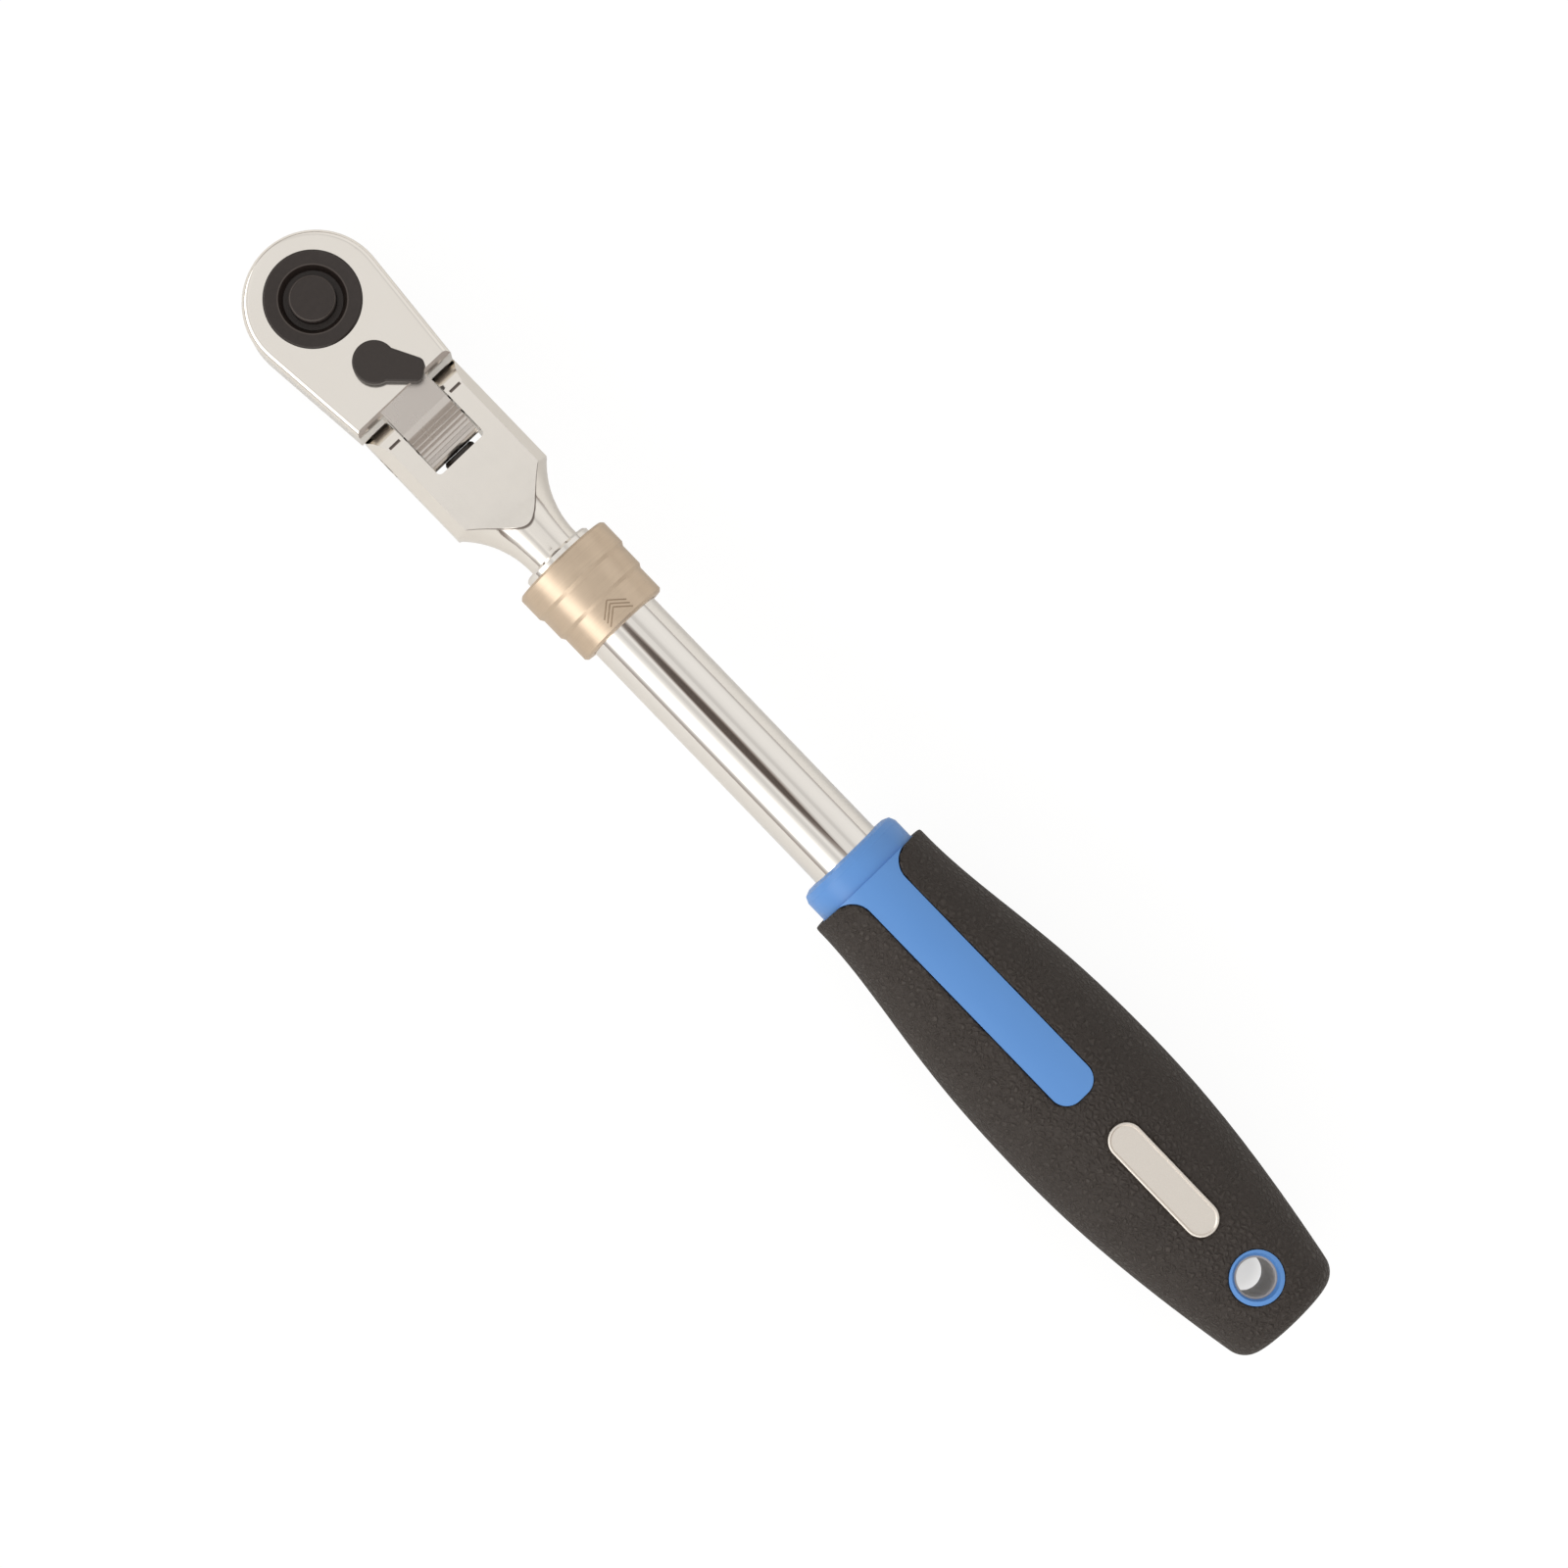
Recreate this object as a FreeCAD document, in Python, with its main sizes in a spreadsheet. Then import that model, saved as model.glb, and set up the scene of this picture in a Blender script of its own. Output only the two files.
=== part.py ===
import FreeCAD, Part
import math
import os
import re

import Sketcher

# Extendable flex-head ratchet wrench, 3/8 inch drive, in its shortest position.
# The tool lies along X: the drive axis is at X = 0 and the handle's end at +X. The lever and the
# release button are on the +Z side. The origin is the middle of the drive square's end face, and
# every sub-part is drawn about the tool's middle plane, which lies mid_height above it.

DIMENSIONS = {
    "mid_height": (18.8, "middle plane above the end of the drive square"),
    # head
    "head_radius": (15.1, "round end of the head about the drive axis"),
    "head_shift": (0.9, "centre of that round end from the drive axis"),
    "head_half": (7.2, "half thickness of the head"),
    "head_end": (26.9, "shoulders of the head beside the tongue"),
    "head_end_half": (12.85, "half width of the head at its shoulders"),
    "head_round": (1.7, "rounded rim of the head's faces"),
    "shoulder_bevel": (1.1, "bevel over the shoulders"),
    "plate_thickness": (1.6, "cover plate let into the underside"),
    "plate_radius": (12.2, "round end of the cover plate"),
    "plate_end": (24.4, "straight end of the cover plate"),
    "plate_end_half": (11.4, "half width of the cover plate at that end"),
    "screw_x": (21.4, "cover screws from the drive axis"),
    "screw_y": (8.2, "cover screws from the middle"),
    "screw_radius": (1.25, "thread of a cover screw"),
    "screw_head_radius": (2.2, "countersunk head of a cover screw"),
    "screw_length": (6.5, "length of a cover screw"),
    # drive
    "square_half": (4.75, "half width across the flats of the 3/8 inch square"),
    "square_corner": (6.35, "rounded corners of the square, from the axis"),
    "square_length": (11.0, "length of the square"),
    "hub_radius": (7.3, "hub through the cover plate"),
    "gear_radius": (11.3, "tips of the ratchet teeth"),
    "gear_depth": (0.5, "depth of the ratchet teeth"),
    "gear_teeth": (72, "number of ratchet teeth"),
    "gear_bottom": (5.2, "underside of the gear below the middle plane"),
    "gear_top": (2.8, "top of the gear above the middle plane"),
    "disc_radius": (10.05, "round top of the drive, seen in the head's face"),
    "disc_proud": (0.45, "how far the drive's top stands out of the head"),
    "recess_radius": (7.0, "recess round the release button"),
    "recess_depth": (2.2, "depth of that recess"),
    "button_radius": (4.8, "release button"),
    "button_proud": (1.1, "how far the button stands above the drive's top"),
    "button_seat": (2.5, "underside of the button's cap above the middle plane"),
    "button_bore_floor": (2.5, "floor of the button's bore below the middle plane"),
    "button_travel": (2.0, "stroke of the button"),
    "stem_radius": (2.3, "stem of the button"),
    "stem_neck": (1.09, "neck of the stem behind the ball"),
    "stem_slope": (0.35, "taper of the stem that moves the ball"),
    "ball_height": (13.4, "detent ball below the middle plane"),
    "ball_radius": (1.6, "detent ball of the square"),
    "ball_offset": (3.75, "centre of that ball from the drive axis"),
    # pawl and reversing lever
    "pawl_inner": (11.42, "tips of the pawl's teeth, lifted clear of the gear"),
    "pawl_outer": (14.1, "back of the pawl"),
    "pawl_angle": (27.0, "half the angle that the pawl spans"),
    "pawl_shift": (6.5, "how far the pawl turns to either side"),
    "pawl_pocket_radius": (14.5, "pocket of the pawl in the head"),
    "pawl_pocket_angle": (38.0, "half the angle of that pocket"),
    "lever_x": (18.2, "axis of the reversing lever"),
    "lever_angle": (36.5, "how far the lever turns to either side"),
    "lever_knob": (4.5, "round end of the lever"),
    "lever_reach": (10.1, "tip of the lever from its axis"),
    "lever_waist": (2.0, "start of the lever's arm, inside its knob"),
    "lever_arm_half": (3.6, "half width of the arm at its start"),
    "lever_tip_half": (2.3, "half width of the lever's tip"),
    "lever_height": (3.3, "top of the lever above the head"),
    "lever_gap": (0.3, "space under the lever's arm"),
    "lever_stem": (3.4, "stem of the lever"),
    "lever_cavity": (4.6, "space round the foot of the stem"),
    "lever_foot": (4.8, "foot of the stem below the middle plane"),
    "plunger_radius": (1.2, "plunger in the lever's stem"),
    "plunger_reach": (3.95, "tip of the plunger from the lever's axis"),
    "plunger_length": (3.6, "length of the plunger"),
    # flex hinge
    "hinge_x": (34.7, "hinge axis"),
    "barrel_radius": (7.2, "toothed barrel of the tongue"),
    "barrel_step": (10.0, "angle between the barrel's teeth"),
    "barrel_tooth": (0.6, "depth of the barrel's teeth"),
    "tongue_half": (6.9, "half thickness of the tongue"),
    "tongue_width": (12.05, "width of the tongue"),
    "slot_width": (12.7, "slot between the ears"),
    "slot_end": (43.8, "floor of the slot"),
    "pin_radius": (2.5, "hinge pin"),
    "pin_half": (12.2, "half the length of the hinge pin"),
    "ear_radius": (7.2, "round front of the ears about the hinge axis"),
    "yoke_half": (7.4, "half thickness of the yoke"),
    "yoke_width": (24.8, "width of the yoke"),
    "panel_half": (10.2, "half width of the flat panels"),
    "bevel_drop": (4.0, "height of the bevels beside the panels"),
    "panel_front": (32.9, "start of the flat panels"),
    "ear_line": (0.5, "width of the groove between each ear's round front and its panel"),
    "ear_line_depth": (1.0, "depth of that groove"),
    "ear_line_lead": (0.35, "how far that groove starts ahead of the panel"),
    "ear_line_wall": (0.6, "metal left between that groove and the slot"),
    "ear_line_end": (9.9, "outer end of that groove from the middle"),
    "yoke_end": (55.4, "end of the yoke's straight sides"),
    "detent_radius": (3.8, "flex detent plunger"),
    "detent_back": (54.0, "back of the flex detent"),
    "detent_lift": (0.55, "lift of the flex detent out of the teeth"),
    "detent_bore_end": (57.5, "floor of the flex detent's bore"),
    # rod and tube
    "rod_radius": (6.13, "neck and inner rod"),
    "flare_end": (70.0, "where the flare runs out into the neck"),
    "rod_end": (200.0, "inner end of the rod"),
    "tube_front": (70.9, "mouth of the outer tube"),
    "tube_end": (225.0, "inner end of the outer tube"),
    "tube_radius": (8.25, "outside of the outer tube"),
    "tube_bore": (6.2, "bore of the outer tube"),
    "plug_front": (216.0, "front of the plug in the tube"),
    "flute_front": (80.0, "front end of the rod's three flutes"),
    "flute_back": (191.0, "back end of the flutes"),
    "lock_step": (20.0, "distance between the locking notches"),
    "lock_count": (6, "number of locking notches in a row"),
    "lock_x": (84.7, "locking balls along the tool"),
    "lock_ball": (1.6, "radius of a locking ball"),
    "lock_offset": (7.3, "centre of a locking ball from the tube's axis"),
    # lock collar
    "collar_front": (72.6, "front of the lock collar"),
    "collar_end": (91.1, "back of the lock collar"),
    "band_one": (11.65, "radius of the front band"),
    "band_two": (11.15, "radius of the middle band"),
    "band_three": (10.62, "radius of the back band"),
    "band_one_end": (78.4, "end of the front band"),
    "band_two_end": (84.1, "end of the middle band"),
    "collar_spring_bore": (10.3, "bore round the collar spring"),
    "collar_seat": (81.5, "step that the collar spring pushes on"),
    "collar_bore": (8.35, "close bore of the collar"),
    "collar_travel": (3.0, "stroke of the collar"),
    "ring_x": (73.2, "front of the retaining ring"),
    "ring_width": (0.9, "thickness of the retaining ring"),
    "ring_groove": (7.75, "radius at the bottom of its groove"),
    "ring_outer": (9.7, "outside of the retaining ring"),
    # handle
    "core_front": (156.3, "front of the handle core"),
    "core_collar": (12.35, "radius of the core's front collar"),
    "grip_front": (162.8, "front of the soft grip"),
    "grip_end": (287.7, "end of the soft grip"),
    "grip_wall": (2.2, "thickness of the soft grip"),
    "stripe_half": (4.95, "half width of the stripe of core in the grip"),
    "stripe_end": (224.2, "end of that stripe"),
    "stripe_corner": (3.8, "rounded corners at its end"),
    "stripe_drop": (0.25, "how far the stripe lies below the grip's surface"),
    "stripe_flare": (4.9, "rounded corners of the grip at the stripe's start"),
    "end_round": (5.0, "rounded end of the grip"),
    "hole_x": (275.1, "hanging hole"),
    "hole_ring": (5.75, "countersunk ring of core round the hanging hole"),
    "eyelet_outer": (4.4, "outside of the eyelet"),
    "eyelet_bore": (4.0, "bore of the eyelet"),
    "eyelet_half": (9.6, "half the length of the eyelet"),
    "badge_x": (247.5, "middle of the badge"),
    "badge_length": (29.6, "length of the badge"),
    "badge_width": (7.6, "width of the badge"),
    "badge_height": (14.72, "top of the badge above the middle plane, at its middle"),
    "badge_thickness": (1.5, "thickness of the badge"),
    "badge_slope": (3.3, "slope of the badge towards the end of the handle"),
    # shared clearances
    "running": (0.04, "radial clearance of a running fit"),
    "gap": (0.1, "clearance between parts of one assembly"),
}

# half width and half thickness of the oval grip along the handle
GRIP_STATIONS = (
    (162.8, 14.75, 13.3),
    (176.0, 15.4, 13.6),
    (188.0, 16.9, 14.2),
    (200.0, 18.35, 14.8),
    (220.0, 19.5, 15.3),
    (240.0, 19.25, 15.0),
    (258.0, 17.65, 13.9),
    (274.0, 15.35, 12.3),
    (287.7, 12.9, 10.8),
)

document = FreeCAD.newDocument("ratchet_wrench")
sheet = document.addObject("Spreadsheet::Sheet", "Dims")
nodes = []


def fill_sheet():
    """Write every driving dimension into the sheet, one row each, under its alias."""
    rows = dict(DIMENSIONS)
    for index, (along, width, height) in enumerate(GRIP_STATIONS, 1):
        rows[f"station_{index}_along"] = (along, "grip station along the tool")
        rows[f"station_{index}_width"] = (width, "half width of the grip there")
        rows[f"station_{index}_height"] = (height, "half thickness of the grip there")
    for row, (alias, (value, meaning)) in enumerate(rows.items(), 1):
        sheet.set(f"A{row}", alias)
        sheet.set(f"B{row}", str(value))
        sheet.set(f"C{row}", meaning)
        sheet.setAlias(f"B{row}", alias)
    document.recompute()
    return set(rows)


aliases = fill_sheet()


def spelled(text):
    """An expression of the document, from one that names the sheet's cells by alias alone."""
    return re.sub(r"[a-z][a-z_0-9]*", lambda word: "Dims." + word[0] if word[0] in aliases else word[0], text)


def number(text):
    """The value of such an expression now."""
    return float(sheet.evalExpression(spelled(text)))


def bind(thing, prop, text):
    thing.setExpression(prop, spelled(text))


def place(thing, along="0", across="0", up="mid_height", rotation=None):
    """Put a sub-part's own origin at this place of the tool, and keep it bound to the sheet."""
    turned = rotation or FreeCAD.Rotation()
    thing.Placement = FreeCAD.Placement(FreeCAD.Vector(number(along), number(across), number(up)), turned)
    for axis, text in zip("xyz", (along, across, up)):
        bind(thing, f"Placement.Base.{axis}", text)


def node(thing, name):
    """Register a finished sub-part under its node's name."""
    thing.Label = name
    nodes.append(thing)
    return thing


def new_body(name):
    body = document.addObject("PartDesign::Body", "Body_" + name)
    body.AllowCompound = True
    return body


def new_sketch(body, plane, level="0", shift=("0", "0")):
    """A sketch on one of the body's origin planes: moved along its normal, then within the plane."""
    sketch = body.newObject("Sketcher::SketchObject", "Sketch")
    flat = next(item for item in body.Origin.OriginFeatures if item.Role == plane)
    sketch.AttachmentSupport = [(flat, "")]
    sketch.MapMode = "FlatFace"
    base = FreeCAD.Vector(number(shift[0]), number(shift[1]), number(level))
    sketch.AttachmentOffset = FreeCAD.Placement(base, FreeCAD.Rotation())
    for axis, text in zip("xyz", (shift[0], shift[1], level)):
        bind(sketch, f"AttachmentOffset.Base.{axis}", text)
    return sketch


def hold(sketch, kind, references, text):
    """A dimension of the sketch, bound to the sheet."""
    index = sketch.addConstraint(Sketcher.Constraint(kind, *references, number(text)))
    bind(sketch, f"Constraints[{index}]", text)


def add_polygon(sketch, corners):
    """A closed outline of straight lines, each corner held by its distances from the sketch's origin."""
    points = [FreeCAD.Vector(number(u), number(v), 0) for u, v in corners]
    first = sketch.GeometryCount
    count = len(points)
    for index in range(count):
        sketch.addGeometry(Part.LineSegment(points[index], points[(index + 1) % count]))
    for index in range(count):
        follower = first + (index + 1) % count
        sketch.addConstraint(Sketcher.Constraint("Coincident", first + index, 2, follower, 1))
    for index, (u, v) in enumerate(corners):
        hold(sketch, "DistanceX", (-1, 1, first + index, 1), u)
        hold(sketch, "DistanceY", (-1, 1, first + index, 1), v)


def add_circle(sketch, radius, centre=("0", "0")):
    middle = FreeCAD.Vector(number(centre[0]), number(centre[1]), 0)
    index = sketch.addGeometry(Part.Circle(middle, FreeCAD.Vector(0, 0, 1), number(radius)))
    hold(sketch, "Radius", (index,), radius)
    hold(sketch, "DistanceX", (-1, 1, index, 3), centre[0])
    hold(sketch, "DistanceY", (-1, 1, index, 3), centre[1])


def add_teardrop(sketch, radius, end, end_half):
    """An arc about the origin, with two straight sides that touch it and run to a straight end."""
    size = number(radius)
    corner = FreeCAD.Vector(number(end), number(end_half), 0)
    touch = math.atan2(corner.y, corner.x) + math.acos(size / corner.Length)
    start = FreeCAD.Vector(size * math.cos(touch), size * math.sin(touch), 0)
    mirror = FreeCAD.Vector(start.x, -start.y, 0)
    lower = FreeCAD.Vector(corner.x, -corner.y, 0)
    arc = sketch.addGeometry(Part.Arc(start, FreeCAD.Vector(-size, 0, 0), mirror))
    side = sketch.addGeometry(Part.LineSegment(mirror, lower))
    back = sketch.addGeometry(Part.LineSegment(lower, corner))
    other = sketch.addGeometry(Part.LineSegment(corner, start))
    sketch.addConstraint(Sketcher.Constraint("Coincident", arc, 3, -1, 1))
    hold(sketch, "Radius", (arc,), radius)
    sketch.addConstraint(Sketcher.Constraint("Tangent", arc, 2, side, 1))
    sketch.addConstraint(Sketcher.Constraint("Coincident", side, 2, back, 1))
    sketch.addConstraint(Sketcher.Constraint("Coincident", back, 2, other, 1))
    sketch.addConstraint(Sketcher.Constraint("Tangent", other, 2, arc, 1))
    hold(sketch, "DistanceX", (-1, 1, back, 1), end)
    hold(sketch, "DistanceY", (-1, 1, back, 1), f"-({end_half})")
    hold(sketch, "DistanceX", (-1, 1, back, 2), end)
    hold(sketch, "DistanceY", (-1, 1, back, 2), end_half)


def finish_feature(body, feature):
    """Make the feature the body's tip, and stop here if it failed."""
    body.Tip = feature
    document.recompute()
    if "Invalid" in feature.State:
        raise RuntimeError(f"{body.Name}: {feature.Name} failed")
    return feature


def pad(body, sketch, length, both_ways=False, reversed_way=False):
    feature = body.newObject("PartDesign::Pad", "Pad")
    feature.Profile = sketch
    feature.Midplane = both_ways
    feature.Reversed = reversed_way
    bind(feature, "Length", length)
    return finish_feature(body, feature)


def pocket(body, sketch, length=None, both_ways=False, reversed_way=False):
    """Cut against the sketch's normal, right through unless a length is given."""
    feature = body.newObject("PartDesign::Pocket", "Pocket")
    feature.Profile = sketch
    feature.Midplane = both_ways
    feature.Reversed = reversed_way
    before = body.Shape.Volume
    if length is None:
        feature.Type = "ThroughAll"
    else:
        bind(feature, "Length", length)
    finish_feature(body, feature)
    if body.Shape.Volume > before - 1e-3:
        raise RuntimeError(f"{body.Name}: {feature.Name} cuts nothing")
    return feature


def revolve(body, sketch, axis):
    feature = body.newObject("PartDesign::Revolution", "Revolution")
    feature.Profile = sketch
    feature.ReferenceAxis = (sketch, [axis])
    feature.Angle = 360
    return finish_feature(body, feature)


def polar(body, original, axis, angle, count, reversed_way=False):
    feature = body.newObject("PartDesign::PolarPattern", "PolarPattern")
    feature.Originals = [original]
    feature.Axis = axis
    feature.Reversed = reversed_way
    feature.Angle = angle
    feature.Occurrences = count
    return finish_feature(body, feature)


def edge_names(shape, wanted):
    """The names of the edges that pass a test on their points."""
    found = []
    for index, edge in enumerate(shape.Edges, 1):
        points = edge.discretize(5)
        if all(wanted(point) for point in points):
            found.append(f"Edge{index}")
    return found


def dress(body, kind, size_name, size, wanted):
    """A fillet or a chamfer on the edges of the body that pass the test."""
    base = body.Tip
    feature = body.newObject(f"PartDesign::{kind}", kind)
    names = edge_names(base.Shape, wanted)
    if not names:
        raise RuntimeError(f"{body.Name}: no edges for {kind}")
    feature.Base = (base, names)
    bind(feature, size_name, size)
    return finish_feature(body, feature)


def chamfer(body, size, wanted):
    return dress(body, "Chamfer", "Size", size, wanted)


def fillet(body, size, wanted):
    return dress(body, "Fillet", "Radius", size, wanted)


def near(value, target):
    return abs(value - target) < 1e-3


def turned_part(name, corners, axis="x"):
    """A body turned about X or Z from its half section, given as (along the axis, radius) pairs."""
    body = new_body(name)
    if axis == "x":
        sketch = new_sketch(body, "XZ_Plane")
        add_polygon(sketch, corners)
        revolve(body, sketch, "H_Axis")
    else:
        sketch = new_sketch(body, "XZ_Plane")
        add_polygon(sketch, [(radius, along) for along, radius in corners])
        revolve(body, sketch, "V_Axis")
    return body


def coil_spring(name, radius, wire, length, turns):
    """A coil about the body's Z axis, from its origin up, standing within the given length."""
    body = new_body(name)
    sketch = new_sketch(body, "XZ_Plane")
    add_circle(sketch, wire, (radius, wire))
    helix = body.newObject("PartDesign::AdditiveHelix", "Helix")
    helix.Profile = sketch
    helix.ReferenceAxis = (sketch, ["V_Axis"])
    helix.Mode = 0
    bind(helix, "Height", f"{length} - 2 * {wire}")
    bind(helix, "Pitch", f"({length} - 2 * {wire}) / {turns}")
    finish_feature(body, helix)
    return body


# ---------------------------------------------------------------- head


def make_head_body():
    """Forged teardrop head, hollowed from below, with the toothed tongue of the flex hinge."""
    body = new_body("head_body")
    outline = new_sketch(body, "XY_Plane", shift=("head_shift", "0"))
    add_teardrop(outline, "head_radius", "head_end - head_shift", "head_end_half")
    pad(body, outline, "2 * head_half", both_ways=True)
    half = number("head_half")
    end = number("head_end")
    on_face = lambda point: near(abs(point.z), half)
    chamfer(body, "shoulder_bevel", lambda point: on_face(point) and near(point.x, end))
    before = number("head_end - shoulder_bevel")
    middle = number("head_radius") / 2
    shoulder = lambda point: near(point.x, before) and abs(point.y) < middle
    fillet(body, "head_round", lambda point: on_face(point) and not shoulder(point))

    tongue = new_sketch(body, "XZ_Plane")
    corners = (("head_end - 3", "-tongue_half"), ("hinge_x", "-tongue_half"))
    corners += (("hinge_x", "tongue_half"), ("head_end - 3", "tongue_half"))
    add_polygon(tongue, corners)
    pad(body, tongue, "tongue_width", both_ways=True)
    barrel = new_sketch(body, "XZ_Plane", shift=("hinge_x", "0"))
    add_circle(barrel, "barrel_radius")
    pad(body, barrel, "tongue_width", both_ways=True)
    groove = new_sketch(body, "XZ_Plane", shift=("hinge_x", "0"))
    reach = "barrel_radius + 0.4"
    corners = (("0", "barrel_radius - barrel_tooth"), ("-barrel_tooth - 0.4", reach))
    corners += (("barrel_tooth + 0.4", reach),)
    add_polygon(groove, corners)
    cut = pocket(body, groove, "tongue_width + 1", both_ways=True)
    turns = round(180 / number("barrel_step"))
    polar(body, cut, (groove, ["N_Axis"]), 180, turns + 1, reversed_way=True)

    hinge = new_sketch(body, "XZ_Plane", shift=("hinge_x", "0"))
    add_circle(hinge, "pin_radius + running")
    pocket(body, hinge, "tongue_width + 1", both_ways=True)

    plate = new_sketch(body, "XY_Plane", level="-head_half + plate_thickness")
    add_teardrop(plate, "plate_radius + gap", "plate_end + gap", "plate_end_half + gap")
    pocket(body, plate)
    cavity = new_sketch(body, "XY_Plane", level="gear_top + 2 * gap")
    add_circle(cavity, "gear_radius + 2 * gap")
    pocket(body, cavity)
    opening = new_sketch(body, "XY_Plane", level="head_half + 1")
    add_circle(opening, "disc_radius + gap")
    pocket(body, opening)

    pawl = new_sketch(body, "XY_Plane", level="gear_top + 2 * gap")
    across = "pawl_pocket_radius * sin(pawl_pocket_angle)"
    along = "pawl_pocket_radius * cos(pawl_pocket_angle)"
    add_pie(pawl, "pawl_pocket_radius", along, across)
    pocket(body, pawl)
    foot = new_sketch(body, "XY_Plane", level="gear_top")
    add_circle(foot, "lever_cavity", ("lever_x", "0"))
    pocket(body, foot)
    stem = new_sketch(body, "XY_Plane", level="head_half + 1")
    add_circle(stem, "lever_stem + running", ("lever_x", "0"))
    pocket(body, stem)
    screws = new_sketch(body, "XY_Plane", level="screw_length + 0.5 - head_half")
    for side in ("screw_y", "-screw_y"):
        add_circle(screws, "screw_radius + gap", ("screw_x", side))
    pocket(body, screws)
    place(body)
    return node(body, "head_body")


def add_pie(sketch, radius, along, across):
    """A slice about the origin, from its tip out to an arc that ends at (along, across) each way."""
    start = FreeCAD.Vector(number(along), -number(across), 0)
    finish = FreeCAD.Vector(start.x, -start.y, 0)
    arc = sketch.addGeometry(Part.Arc(start, FreeCAD.Vector(number(radius), 0, 0), finish))
    tip = FreeCAD.Vector(0, 0, 0)
    lower = sketch.addGeometry(Part.LineSegment(tip, start))
    upper = sketch.addGeometry(Part.LineSegment(finish, tip))
    sketch.addConstraint(Sketcher.Constraint("Coincident", arc, 3, -1, 1))
    sketch.addConstraint(Sketcher.Constraint("Coincident", lower, 1, -1, 1))
    sketch.addConstraint(Sketcher.Constraint("Coincident", upper, 2, -1, 1))
    sketch.addConstraint(Sketcher.Constraint("Coincident", lower, 2, arc, 1))
    sketch.addConstraint(Sketcher.Constraint("Coincident", upper, 1, arc, 2))
    hold(sketch, "Radius", (arc,), radius)
    hold(sketch, "DistanceY", (-1, 1, arc, 2), across)
    hold(sketch, "DistanceY", (-1, 1, arc, 1), f"-({across})")


def make_cover_plate():
    """Thin plate in the underside, with a hole for the drive's hub and two countersunk screw holes."""
    body = new_body("cover_plate")
    outline = new_sketch(body, "XY_Plane", level="-head_half")
    add_teardrop(outline, "plate_radius", "plate_end", "plate_end_half")
    pad(body, outline, "plate_thickness - gap")
    holes = new_sketch(body, "XY_Plane", level="0")
    add_circle(holes, "hub_radius + gap")
    for side in ("screw_y", "-screw_y"):
        add_circle(holes, "screw_radius + gap", ("screw_x", side))
    pocket(body, holes)
    bottom = -number("head_half")
    spot = FreeCAD.Vector(number("screw_x"), number("screw_y"), bottom)
    size = number("screw_radius + gap")
    away = lambda point: math.hypot(point.x - spot.x, abs(point.y) - spot.y)
    rim = lambda point: near(point.z, bottom) and near(away(point), size)
    chamfer(body, "screw_head_radius - screw_radius", rim)
    place(body)
    return node(body, "cover_plate")


def make_cover_screws():
    """Two countersunk screws with cross recesses, mirrored about the tool's middle."""
    body = new_body("cover_screws")
    section = new_sketch(body, "XZ_Plane", shift=("screw_x", "0"), level="-screw_y")
    under = "-head_half + 0.05"
    neck = "-head_half + screw_head_radius - screw_radius + 0.1"
    corners = (("0", under), ("screw_head_radius - 0.1", under), ("screw_radius", neck))
    corners += (("screw_radius", "-head_half + screw_length"), ("0", "-head_half + screw_length"))
    add_polygon(section, corners)
    turned = revolve(body, section, "V_Axis")
    cross = new_sketch(body, "XY_Plane", level="-head_half + 0.9", shift=("screw_x", "screw_y"))
    arm = (("-1.2", "-0.25"), ("-0.25", "-0.25"), ("-0.25", "-1.2"), ("0.25", "-1.2"))
    arm += (("0.25", "-0.25"), ("1.2", "-0.25"), ("1.2", "0.25"), ("0.25", "0.25"))
    arm += (("0.25", "1.2"), ("-0.25", "1.2"), ("-0.25", "0.25"), ("-1.2", "0.25"))
    add_polygon(cross, arm)
    recess = pocket(body, cross)
    mirror = body.newObject("PartDesign::Mirrored", "Mirrored")
    mirror.Originals = [turned, recess]
    flat = next(item for item in body.Origin.OriginFeatures if item.Role == "XZ_Plane")
    mirror.MirrorPlane = (flat, [""])
    finish_feature(body, mirror)
    place(body)
    return node(body, "cover_screws")


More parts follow.
